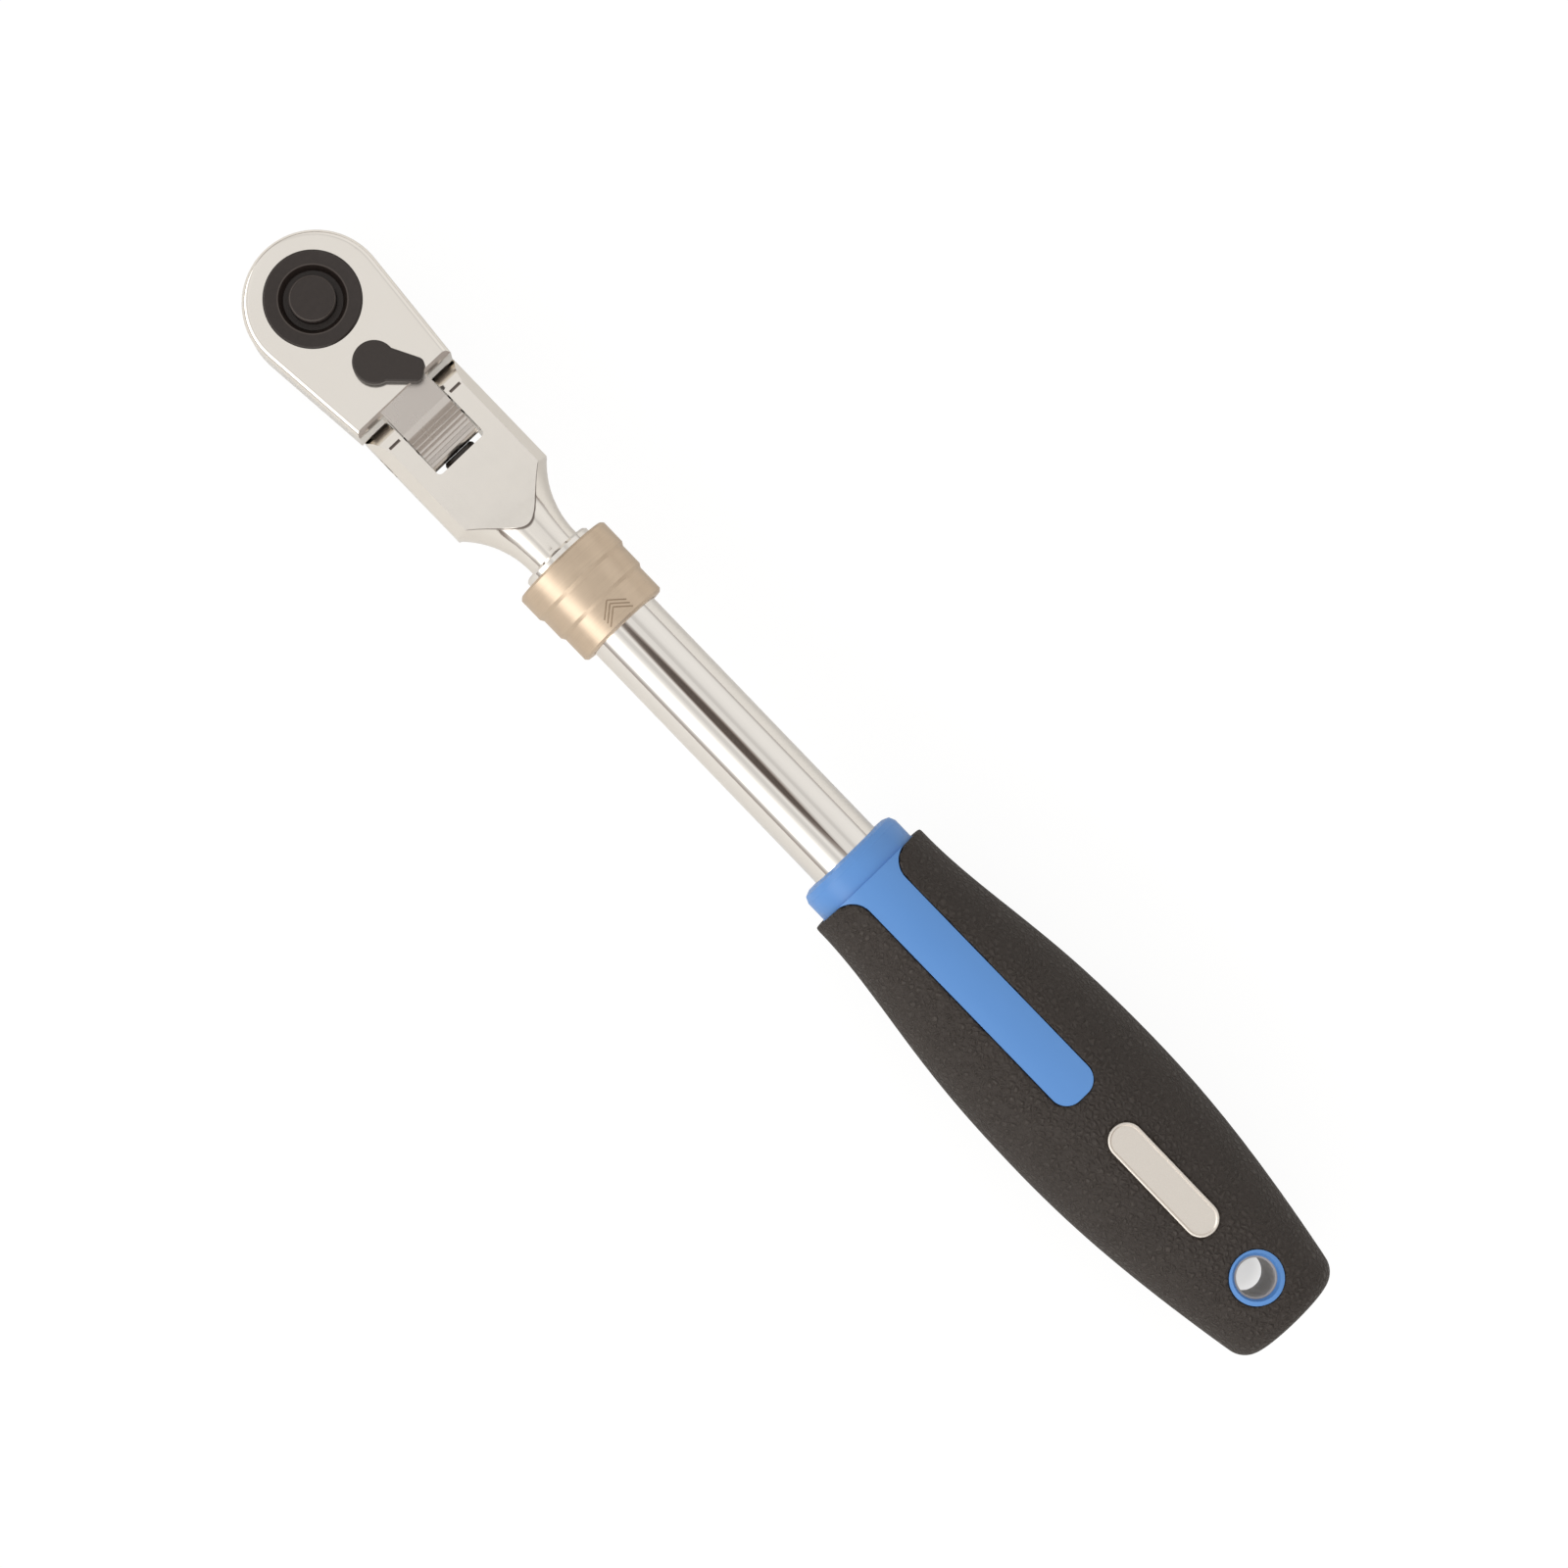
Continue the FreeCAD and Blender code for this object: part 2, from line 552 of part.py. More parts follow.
def make_drive_anvil():
    """Drive in one piece: square, hub, 72-tooth gear and the round top with the button's recess."""
    top = "head_half + disc_proud"
    corners = (
        ("-ball_height - 4.2", "0"),
        ("-mid_height", "0"),
        ("-mid_height", "square_corner - 1"),
        ("-mid_height + 1", "square_corner"),
        ("-mid_height + square_length", "square_corner"),
        ("-mid_height + square_length", "hub_radius"),
        ("-gear_bottom", "hub_radius"),
        ("-gear_bottom", "gear_radius"),
        ("gear_top", "gear_radius"),
        ("gear_top", "disc_radius"),
        (top + " - 0.3", "disc_radius"),
        (top, "disc_radius - 0.3"),
        (top + " - 0.35", "recess_radius"),
        (top + " - recess_depth", "recess_radius - 0.9"),
        (top + " - recess_depth", "button_radius + 0.1"),
        ("-button_bore_floor", "button_radius + 0.1"),
        ("-button_bore_floor", "stem_radius + 0.08"),
        ("-ball_height - 4.2", "stem_radius + 0.08"),
    )
    body = turned_part("drive_anvil", corners, "z")
    flats = new_sketch(body, "XY_Plane", level="-mid_height + square_length")
    for size in ("12", "square_half"):
        add_polygon(flats, ((f"-{size}", f"-{size}"), (size, f"-{size}"), (size, size), (f"-{size}", size)))
    pocket(body, flats)
    ball = new_sketch(body, "YZ_Plane", level="-9")
    add_circle(ball, "ball_radius + running", ("0", "-ball_height"))
    pocket(body, ball, "9", reversed_way=True)
    gash = new_sketch(body, "XY_Plane", level="gear_top + 0.1")
    half_gap = "gear_radius * pi / gear_teeth"
    corners = (("gear_radius - gear_depth", "0"), ("gear_radius + 0.1", f"-{half_gap}"))
    corners += (("gear_radius + 0.1", half_gap),)
    add_polygon(gash, corners)
    cut = pocket(body, gash, "gear_top + gear_bottom + 0.2")
    polar(body, cut, (gash, ["N_Axis"]), 360, round(number("gear_teeth")))
    place(body)
    return node(body, "drive_anvil")


def make_release_button():
    """Push button with its stem, whose taper lets the ball of the square move in."""
    top = "head_half + disc_proud + button_proud"
    taper_low = "-ball_height - (stem_radius - stem_at_ball) / stem_slope"
    taper_high = "-ball_height + (stem_at_ball - stem_neck) / stem_slope"
    reach = "ball_offset - ball_radius * sqrt(1 + stem_slope ^ 2) - 0.05"
    corners = [
        ("-ball_height - 2", "0"),
        ("-ball_height - 2", "stem_radius"),
        (taper_low, "stem_radius"),
        (taper_high, "stem_neck"),
        ("-ball_height + 3.9", "stem_neck"),
        ("-ball_height + 4.6", "stem_radius"),
        ("button_seat", "stem_radius"),
        ("button_seat", "button_radius"),
        (top + " - 0.4", "button_radius"),
        (top, "button_radius - 0.4"),
        (top, "0"),
    ]
    corners = [(u.replace("stem_at_ball", f"({reach})"), v) for u, v in corners]
    body = turned_part("release_button", corners, "z")
    place(body)
    return node(body, "release_button")


def make_button_spring():
    body = coil_spring("button_spring", "3.6", "0.35", "button_seat + button_bore_floor - 0.1", "4.5")
    place(body, up="mid_height - button_bore_floor + 0.05")
    return node(body, "button_spring")


def make_ball(name, radius, along, across, up):
    ball = document.addObject("Part::Sphere", "Sphere_" + name)
    bind(ball, "Radius", radius)
    place(ball, along, across, up)
    return node(ball, name)


def make_pawl():
    """Toothed pawl in an arc round the gear, held just clear of the teeth."""
    body = new_body("pawl")
    blank = new_sketch(body, "XY_Plane", level="gear_top - gap")
    add_pie(blank, "pawl_outer", "pawl_outer * cos(pawl_angle)", "pawl_outer * sin(pawl_angle)")
    height = "gear_top + gear_bottom - 3 * gap"
    pad(body, blank, height, reversed_way=True)
    inner = new_sketch(body, "XY_Plane", level="gear_top + 1")
    add_circle(inner, "pawl_inner")
    pocket(body, inner)
    gash = new_sketch(body, "XY_Plane", level="gear_top + 1")
    wide = "pawl_inner * pi / gear_teeth"
    corners = (("pawl_inner - 0.1", f"-{wide}"), ("pawl_inner - 0.1", wide))
    corners += (("pawl_inner + gear_depth", "0"),)
    add_polygon(gash, corners)
    first = pocket(body, gash, "20")
    step = 360 / number("gear_teeth")
    each_way = int(number("pawl_angle") / step)
    for backwards in (False, True):
        polar(body, first, (gash, ["N_Axis"]), each_way * step, each_way + 1, backwards)
    place(body, rotation=FreeCAD.Rotation(FreeCAD.Vector(0, 0, 1), -number("pawl_shift")))
    return node(body, "pawl")


def make_reversing_lever():
    """Knob and tapering arm above the head, with a stem that carries the plunger."""
    body = new_body("reversing_lever")
    low = "head_half + lever_gap"
    knob = new_sketch(body, "XY_Plane", level=low)
    add_circle(knob, "lever_knob")
    pad(body, knob, "lever_height - lever_gap")
    arm = new_sketch(body, "XY_Plane", level=low)
    corners = (("lever_waist", "-lever_arm_half"), ("lever_reach", "-lever_tip_half"))
    corners += (("lever_reach", "lever_tip_half"), ("lever_waist", "lever_arm_half"))
    add_polygon(arm, corners)
    pad(body, arm, "lever_height - lever_gap")
    reach = number("lever_reach")
    upright = lambda point: near(point.x, reach) and near(abs(point.y), number("lever_tip_half"))
    fillet(body, "1.5", upright)
    top = number("head_half + lever_height")
    fillet(body, "0.5", lambda point: near(point.z, top))
    stem = new_sketch(body, "XY_Plane", level=low + " + 0.1")
    add_circle(stem, "lever_stem")
    pad(body, stem, "head_half + lever_gap + 0.1 + lever_foot", reversed_way=True)
    bore = new_sketch(body, "YZ_Plane", level="2.5")
    add_circle(bore, "plunger_radius + running", ("0", "-1"))
    pocket(body, bore, "9")
    ring = new_sketch(body, "XZ_Plane")
    corners = (("lever_stem - 0.7", "4.4"), ("lever_stem + 0.5", "4.4"))
    corners += (("lever_stem + 0.5", "5.6"), ("lever_stem - 0.7", "5.6"))
    add_polygon(ring, corners)
    groove = body.newObject("PartDesign::Groove", "Groove")
    groove.Profile = ring
    groove.ReferenceAxis = (ring, ["V_Axis"])
    groove.Angle = 360
    finish_feature(body, groove)
    turn = FreeCAD.Rotation(FreeCAD.Vector(0, 0, 1), number("lever_angle"))
    place(body, "lever_x", rotation=turn)
    return node(body, "reversing_lever")


def make_lever_plunger():
    """Short round-nosed plunger in the lever's stem, pointing at the back of the pawl."""
    nose = "plunger_reach - plunger_radius"
    corners = (("plunger_reach - plunger_length", "0"), ("plunger_reach - plunger_length", "plunger_radius"))
    corners += ((nose + " + 0.4", "plunger_radius"), ("plunger_reach", "0.3"), ("plunger_reach", "0"))
    body = turned_part("lever_plunger", corners)
    turn = FreeCAD.Rotation(FreeCAD.Vector(0, 0, 1), 180 + number("lever_angle"))
    place(body, "lever_x", up="mid_height - 1", rotation=turn)
    return node(body, "lever_plunger")


def make_lever_spring():
    body = coil_spring("lever_spring", "0.85", "0.15", "2.7", "6")
    angle = math.radians(number("lever_angle"))
    turn = FreeCAD.Rotation(FreeCAD.Vector(0, 0, 1), FreeCAD.Vector(-math.cos(angle), -math.sin(angle), 0))
    back = "(2.4 * cos(lever_angle * 1deg))", "(2.4 * sin(lever_angle * 1deg))"
    place(body, "lever_x + " + back[0], back[1], "mid_height - 1", turn)
    return node(body, "lever_spring")


def make_lever_o_ring():
    ring = document.addObject("Part::Torus", "Torus")
    bind(ring, "Radius1", "lever_stem - 0.33")
    bind(ring, "Radius2", "0.34")
    place(ring, "lever_x", up="mid_height + 5")
    return node(ring, "lever_o_ring")


# ---------------------------------------------------------------- flex hinge and sliding rod


def make_hinge_pin():
    """Plain pin across the ears and the tongue, with a hexagon socket in one end."""
    body = new_body("hinge_pin")
    round_bar = new_sketch(body, "XZ_Plane")
    add_circle(round_bar, "pin_radius")
    pad(body, round_bar, "2 * pin_half", both_ways=True)
    half = number("pin_half")
    chamfer(body, "0.4", lambda point: near(abs(point.y), half))
    socket = new_sketch(body, "XZ_Plane", level="pin_half")
    corner = 1.45
    angles = [math.radians(60 * index) for index in range(6)]
    add_polygon(socket, [(f"{corner * math.cos(a):.4f}", f"{corner * math.sin(a):.4f}") for a in angles])
    pocket(body, socket, "3")
    place(body, "hinge_x")
    return node(body, "hinge_pin")


def make_yoke_rod():
    """Forked yoke, its flared neck and the inner rod with three flutes and rows of notches."""
    body = new_body("yoke_rod")
    ears = new_sketch(body, "XZ_Plane", shift=("hinge_x", "0"))
    add_circle(ears, "ear_radius")
    pad(body, ears, "yoke_width", both_ways=True)
    section = new_sketch(body, "YZ_Plane", level="panel_front")
    outer = "yoke_width / 2"
    side = "yoke_half - bevel_drop"
    right = (("panel_half", "-yoke_half"), (outer, f"-({side})"), (outer, side), ("panel_half", "yoke_half"))
    corners = right + tuple((f"-({across})", up) for across, up in reversed(right))
    add_polygon(section, corners)
    pad(body, section, "yoke_end - panel_front")
    trim_ears(body)
    trim = new_sketch(body, "XZ_Plane", level="0")
    add_flare(trim)
    revolve(body, trim, "H_Axis")
    shave = new_sketch(body, "YZ_Plane", level="yoke_end - 3")
    add_polygon(shave, (("-20", "yoke_half"), ("20", "yoke_half"), ("20", "20"), ("-20", "20")))
    add_polygon(shave, (("-20", "-20"), ("20", "-20"), ("20", "-yoke_half"), ("-20", "-yoke_half")))
    pocket(body, shave, "20", reversed_way=True)

    slot = new_sketch(body, "XY_Plane", level="yoke_half + 1")
    half = "slot_width / 2"
    corners = (("hinge_x - 12", f"-{half}"), ("slot_end", f"-{half}"))
    corners += (("slot_end", half), ("hinge_x - 12", half))
    add_polygon(slot, corners)
    pocket(body, slot)
    corner_x = number("slot_end")
    wanted = lambda point: near(point.x, corner_x) and near(abs(point.y), number(half))
    fillet(body, "1", wanted)
    for face, downwards in (("yoke_half + 1", False), ("-yoke_half - 1", True)):
        line = new_sketch(body, "XY_Plane", level=face)
        for side in ("", "-"):
            near_slot, outside = f"{side}(slot_width / 2 + ear_line_wall)", f"{side}ear_line_end"
            front = "panel_front - ear_line_lead"
            corners = ((front, near_slot), (front + " + ear_line", near_slot))
            corners += ((front + " + ear_line", outside), (front, outside))
            add_polygon(line, corners)
        pocket(body, line, "ear_line_depth + 1", reversed_way=downwards)
    hinge = new_sketch(body, "XZ_Plane", shift=("hinge_x", "0"))
    add_circle(hinge, "pin_radius + running")
    pocket(body, hinge, "yoke_width + 1", both_ways=True)
    detent = new_sketch(body, "YZ_Plane", level="slot_end - 0.5")
    add_circle(detent, "detent_radius + 0.05")
    pocket(body, detent, "detent_bore_end - slot_end + 0.5", reversed_way=True)

    axis = next(item for item in body.Origin.OriginFeatures if item.Role == "X_Axis")
    flute = new_sketch(body, "YZ_Plane", level="flute_front")
    add_circle(flute, "lock_ball + gap", ("0", "lock_offset"))
    cut = pocket(body, flute, "flute_back - flute_front", reversed_way=True)
    polar(body, cut, (axis, [""]), 360, 3)
    notch = new_sketch(body, "YZ_Plane", level="lock_x - 1.3")
    add_circle(notch, "lock_ball + gap", ("0", "lock_offset - 0.4"))
    dent = pocket(body, notch, "2.6", reversed_way=True)
    rows = body.newObject("PartDesign::MultiTransform", "Notches")
    rows.Originals = [dent]
    along = body.newObject("PartDesign::LinearPattern", "Along")
    along.Direction = (axis, [""])
    bind(along, "Length", "lock_step * (lock_count - 1)")
    bind(along, "Occurrences", "lock_count")
    around = body.newObject("PartDesign::PolarPattern", "Around")
    around.Axis = (axis, [""])
    around.Angle = 360
    around.Occurrences = 3
    rows.Transformations = [along, around]
    finish_feature(body, rows)
    place(body)
    return node(body, "yoke_rod")


def trim_ears(body):
    """Carry the side bevels forward over the round fronts of the ears."""
    sketch = new_sketch(body, "YZ_Plane", level="hinge_x - 12")
    low = "yoke_half - bevel_drop"
    outer = "yoke_width / 2"
    for across in ("", "-"):
        for up in ("", "-"):
            corners = ((f"{across}panel_half", f"{up}yoke_half"), (f"{across}{outer}", f"{up}({low})"))
            corners += ((f"{across}{outer}", f"{up}yoke_half"),)
            add_polygon(sketch, corners)
    pocket(body, sketch, "20", reversed_way=True)


def add_flare(sketch):
    """Half section of the rod with a concave flare that grows up to the yoke's width."""
    wide = number("yoke_width / 2")
    thin = number("rod_radius")
    start = number("yoke_end")
    length = number("flare_end") - start
    rise = wide - thin
    radius = (length ** 2 + rise ** 2) / (2 * rise)
    centre = FreeCAD.Vector(number("flare_end"), thin + radius, 0)
    root = FreeCAD.Vector(start, wide, 0)
    finish = FreeCAD.Vector(centre.x, thin, 0)
    half_turn = math.atan2(length, radius - rise) / 2
    middle = centre + FreeCAD.Vector(-radius * math.sin(half_turn), -radius * math.cos(half_turn), 0)
    corners = (("yoke_end - 2", "0"), ("yoke_end - 2", "yoke_width / 2"), ("yoke_end", "yoke_width / 2"))
    tail = (("rod_end - 0.8", "rod_radius"), ("rod_end", "rod_radius - 0.8"), ("rod_end", "0"))
    points = [FreeCAD.Vector(number(u), number(v), 0) for u, v in corners]
    after = [FreeCAD.Vector(number(u), number(v), 0) for u, v in tail]
    for first, second in zip(points, points[1:]):
        sketch.addGeometry(Part.LineSegment(first, second))
    arc = sketch.addGeometry(Part.Arc(root, middle, finish))
    run = [finish] + after + [points[0]]
    for first, second in zip(run, run[1:]):
        sketch.addGeometry(Part.LineSegment(first, second))
    last = sketch.GeometryCount - 1
    ends = (1, 2) if sketch.getPoint(arc, 1).distanceToPoint(root) < 1e-6 else (2, 1)
    for index in range(arc - 1):
        sketch.addConstraint(Sketcher.Constraint("Coincident", index, 2, index + 1, 1))
    sketch.addConstraint(Sketcher.Constraint("Coincident", arc - 1, 2, arc, ends[0]))
    sketch.addConstraint(Sketcher.Constraint("Tangent", arc, ends[1], arc + 1, 1))
    for index in range(arc + 1, last):
        sketch.addConstraint(Sketcher.Constraint("Coincident", index, 2, index + 1, 1))
    sketch.addConstraint(Sketcher.Constraint("Coincident", last, 2, 0, 1))
    for index, (u, v) in enumerate(corners):
        hold(sketch, "DistanceX", (-1, 1, index, 1) if index < arc else (-1, 1, arc, ends[0]), u)
        hold(sketch, "DistanceY", (-1, 1, index, 1) if index < arc else (-1, 1, arc, ends[0]), v)
    hold(sketch, "DistanceX", (-1, 1, arc + 1, 1), "flare_end")
    hold(sketch, "DistanceY", (-1, 1, arc + 1, 1), "rod_radius")
    for index, (u, v) in enumerate(tail):
        hold(sketch, "DistanceX", (-1, 1, arc + 1 + index, 2), u)
        if index:
            hold(sketch, "DistanceY", (-1, 1, arc + 1 + index, 2), v)


def make_flex_detent():
    """Plunger with a ridge across its nose, lifted just clear of the barrel's teeth."""
    nose = "hinge_x + barrel_radius + 0.08"
    shoulder = f"{nose} + barrel_tooth"
    corners = ((nose, "0"), (nose, "detent_radius - 0.5"), (shoulder, "detent_radius"))
    corners += (("detent_back", "detent_radius"), ("detent_back", "2.9"), ("48", "2.9"), ("48", "0"))
    body = turned_part("flex_detent", corners)
    ridge = new_sketch(body, "XZ_Plane")
    corners = ((f"{nose} - 1", "0"), (nose, "0"), (shoulder, "barrel_tooth"))
    corners += ((shoulder, "6"), (f"{nose} - 1", "6"))
    add_polygon(ridge, corners)
    lower = [(u, "0" if v == "0" else f"-{v}") for u, v in corners]
    pocket(body, ridge, "20", both_ways=True)
    mirror = new_sketch(body, "XZ_Plane")
    add_polygon(mirror, lower)
    pocket(body, mirror, "20", both_ways=True)
    place(body)
    return node(body, "flex_detent")


def make_flex_detent_spring():
    body = coil_spring("flex_detent_spring", "2.3", "0.3", "detent_bore_end - 48 - gap", "6")
    turn = FreeCAD.Rotation(FreeCAD.Vector(0, 1, 0), 90)
    place(body, "48 + gap / 2", rotation=turn)
    return node(body, "flex_detent_spring")


def make_outer_tube():
    """Drawn steel tube with three ball holes and the groove of the retaining ring."""
    ring_back = "ring_x + ring_width"
    corners = (
        ("tube_front", "tube_bore + 0.4"),
        ("tube_front", "tube_radius - 0.5"),
        ("tube_front + 0.5", "tube_radius"),
        ("ring_x", "tube_radius"),
        ("ring_x", "ring_groove"),
        (ring_back, "ring_groove"),
        (ring_back, "tube_radius"),
        ("tube_end", "tube_radius"),
        ("tube_end", "tube_bore"),
        ("tube_front + 0.4", "tube_bore"),
    )
    body = turned_part("outer_tube", corners)
    hole = new_sketch(body, "XY_Plane", level="4")
    add_circle(hole, "lock_ball + running", ("lock_x", "0"))
    cut = pocket(body, hole, "6", reversed_way=True)
    axis = next(item for item in body.Origin.OriginFeatures if item.Role == "X_Axis")
    polar(body, cut, (axis, [""]), 360, 3)
    place(body)
    return node(body, "outer_tube")


def make_tube_end_plug():
    corners = (("plug_front", "0"), ("plug_front", "tube_bore - 0.6"))
    corners += (("plug_front + 0.6", "tube_bore - 0.02"), ("tube_end", "tube_bore - 0.02"), ("tube_end", "0"))
    body = turned_part("tube_end_plug", corners)
    place(body)
    return node(body, "tube_end_plug")


def make_lock_collar():
    """Sliding collar in three steps outside; inside, a spring bore, a step and the balls' taper."""
    cone_front = "collar_seat + 1.4"
    cone_back = "collar_end - 1.7"
    over_ball = "lock_offset + lock_ball + 0.08"
    slope = 0.1
    corners = (
        ("collar_front", "collar_spring_bore"),
        ("collar_front", "band_one - 0.5"),
        ("collar_front + 0.5", "band_one"),
        ("band_one_end", "band_one"),
        ("band_one_end + 0.8", "band_two"),
        ("band_two_end", "band_two"),
        ("band_two_end + 0.8", "band_three"),
        ("collar_end - 0.5", "band_three"),
        ("collar_end", "band_three - 0.5"),
        ("collar_end", "collar_bore"),
        (cone_back, "collar_bore"),
        (cone_back, f"{over_ball} + {slope} * ({cone_back} - lock_x)"),
        (cone_front, f"{over_ball} + {slope} * ({cone_front} - lock_x)"),
        (cone_front, "collar_bore"),
        ("collar_seat", "collar_bore"),
        ("collar_seat", "collar_spring_bore"),
    )
    body = turned_part("lock_collar", corners)
    place(body)
    return node(body, "lock_collar")


def make_collar_spring():
    start = "ring_x + ring_width + 0.05"
    body = coil_spring("collar_spring", "9.25", "0.4", f"collar_seat - 0.05 - ({start})", "3.5")
    turn = FreeCAD.Rotation(FreeCAD.Vector(0, 1, 0), 90)
    place(body, start, rotation=turn)
    return node(body, "collar_spring")


def make_collar_snap_ring():
    """Open spring ring that sits in the tube's groove."""
    body = new_body("collar_snap_ring")
    ring = new_sketch(body, "YZ_Plane", level="ring_x + 0.05")
    add_circle(ring, "ring_outer")
    add_circle(ring, "ring_groove + 0.05")
    pad(body, ring, "ring_width - 0.1")
    opening = new_sketch(body, "YZ_Plane", level="ring_x - 1")
    add_polygon(opening, (("-1.2", "-12"), ("1.2", "-12"), ("1.2", "-3"), ("-1.2", "-3")))
    pocket(body, opening, "4", reversed_way=True)
    place(body)
    return node(body, "collar_snap_ring")


# ---------------------------------------------------------------- handle


def make_grip_loft(name, less):
    """An oval solid through the grip's stations, drawn in by the given amount all round."""
    sections = []
    last = len(GRIP_STATIONS)
    for index in range(1, last + 1):
        oval = document.addObject("Part::Ellipse", f"Oval_{name}_{index}")
        bind(oval, "MajorRadius", f"station_{index}_width - ({less})")
        bind(oval, "MinorRadius", f"station_{index}_height - ({less})")
        turn = FreeCAD.Rotation(FreeCAD.Vector(1, 1, 1), 120)
        drawn_in = f" - ({less})" if index == last else ""
        place(oval, f"station_{index}_along" + drawn_in, rotation=turn)
        sections.append(oval)
    loft = document.addObject("Part::Loft", "Loft_" + name)
    loft.Sections = sections
    loft.Solid = True
    document.recompute()
    end = number(f"grip_end - ({less})")
    size = number(f"end_round - ({less})")
    round_edges = [
        (index, size, size)
        for index, edge in enumerate(loft.Shape.Edges, 1)
        if all(near(point.x, end) for point in edge.discretize(5))
    ]
    rounded = document.addObject("Part::Fillet", "Rounded_" + name)
    rounded.Base = loft
    rounded.Edges = round_edges
    document.recompute()
    return rounded


def make_stripe_tool(name, less):
    """An upright block with the plan of the stripe: flared at its start and rounded at its end."""
    body = new_body(name)
    block = new_sketch(body, "XY_Plane", level="-20")
    half = f"stripe_half - ({less})"
    wide = "stripe_half + stripe_flare + 0.2"
    mouth = "grip_front - gap / 2"
    right = (("grip_front - 1", wide), (mouth, wide), (mouth, half), ("stripe_end", half))
    left = [(along, f"-({across})") for along, across in right]
    add_polygon(block, left + list(reversed(right)))
    pad(body, block, "40")
    start, end, side = number(mouth), number("stripe_end"), number(half)
    fillet(body, f"stripe_flare + ({less})", lambda point: near(point.x, start) and near(abs(point.y), side))
    fillet(body, f"stripe_corner - ({less})", lambda point: near(point.x, end) and near(abs(point.y), side))
    place(body)
    return body


def boolean(kind, name, first, second):
    thing = document.addObject(f"Part::{kind}", name)
    if kind == "MultiFuse" or kind == "MultiCommon":
        thing.Shapes = [first] + list(second)
    else:
        thing.Base = first
        thing.Tool = second
    document.recompute()
    return thing


def upright_bar(name, radius):
    bar = document.addObject("Part::Cylinder", name)
    bind(bar, "Radius", radius)
    bar.Height = 60
    place(bar, "hole_x", up="mid_height - 30")
    return bar


def make_handle_core():
    """Hard plastic core: front collar, the body under the soft grip, the two stripes and the hole's ring."""
    inner = make_grip_loft("core", "grip_wall")
    surface = make_grip_loft("stripe", "stripe_drop")
    stripe = boolean("Common", "StripeSkin", surface, make_stripe_tool("stripe_tool", "0.0"))
    ring = boolean("Common", "RingSkin", surface, upright_bar("RingBar", "hole_ring"))
    corners = (
        ("core_front", "tube_radius + 0.02"),
        ("core_front", "core_collar - 1.9"),
        ("core_front + 0.55", "core_collar - 0.6"),
        ("core_front + 1.9", "core_collar"),
        ("grip_front + 4", "core_collar"),
        ("grip_front + 4", "tube_radius + 0.02"),
    )
    collar = turned_part("core_collar", corners)
    place(collar)
    whole = boolean("MultiFuse", "CoreSolid", inner, [stripe, ring, collar])
    tube = document.addObject("Part::Cylinder", "TubeBore")
    bind(tube, "Radius", "tube_radius + 0.02")
    bind(tube, "Height", "tube_end + 0.2 - core_front + 5")
    place(tube, "core_front - 5", rotation=FreeCAD.Rotation(FreeCAD.Vector(0, 1, 0), 90))
    bored = boolean("Cut", "CoreBored", whole, tube)
    drilled = boolean("Cut", "CoreDrilled", bored, upright_bar("EyeletBore", "eyelet_outer + 0.02"))
    for side in (1, -1):
        cone = document.addObject("Part::Cone", "Countersink")
        bind(cone, "Radius1", "eyelet_outer + 0.02")
        bind(cone, "Radius2", "hole_ring - 0.3")
        cone.Height = 3
        turn = FreeCAD.Rotation(FreeCAD.Vector(1, 0, 0), 0 if side > 0 else 180)
        level = f"mid_height + {side} * (eyelet_half + 0.4)"
        place(cone, "hole_x", up=level, rotation=turn)
        drilled = boolean("Cut", "CoreSunk", drilled, cone)
    return node(drilled, "handle_core")


def make_grip_overmould():
    """Soft grip round the core, open over the stripes and round the hanging hole."""
    outer = make_grip_loft("grip", "0.0")
    inner = make_grip_loft("grip_inside", "grip_wall - 0.02")
    shell = boolean("Cut", "GripShell", outer, inner)
    tool = make_stripe_tool("stripe_gap", "-0.03")
    striped = boolean("Cut", "GripStriped", shell, tool)
    holed = boolean("Cut", "GripHoled", striped, upright_bar("RingGap", "hole_ring + 0.03"))
    front = document.addObject("Part::Cylinder", "CollarGap")
    bind(front, "Radius", "core_collar + 0.03")
    front.Height = 6
    place(front, "grip_front - 1.97", rotation=FreeCAD.Rotation(FreeCAD.Vector(0, 1, 0), 90))
    opened = boolean("Cut", "GripOpened", holed, front)
    seat = make_badge_solid("badge_seat", "0.03", "3")
    return node(boolean("Cut", "GripSeated", opened, seat), "grip_overmould")


def make_badge_solid(name, more, above):
    """A pill-shaped plate along the tool, sloping with the top of the grip."""
    body = new_body(name)
    plan = new_sketch(body, "XY_Plane", level="-badge_thickness")
    half = f"(badge_length / 2 + {more})"
    side = f"(badge_width / 2 + {more})"
    add_polygon(plan, ((f"-{half}", f"-{side}"), (half, f"-{side}"), (half, side), (f"-{half}", side)))
    pad(body, plan, f"badge_thickness + {above}")
    end, edge = number(half), number(side)
    corner = lambda point: near(abs(point.x), end) and near(abs(point.y), edge)
    fillet(body, f"badge_width / 2 - 0.3 + {more}", corner)
    turn = FreeCAD.Rotation(FreeCAD.Vector(0, 1, 0), number("badge_slope"))
    place(body, "badge_x", up="mid_height + badge_height", rotation=turn)
    return body


def make_badge():
    return node(make_badge_solid("badge", "0", "0"), "badge")


def make_hang_eyelet():
    corners = (("-eyelet_half", "eyelet_bore"), ("-eyelet_half", "eyelet_outer"))
    corners += (("eyelet_half", "eyelet_outer"), ("eyelet_half", "eyelet_bore"))
    body = turned_part("hang_eyelet", corners, "z")
    place(body, "hole_x")
    return node(body, "hang_eyelet")


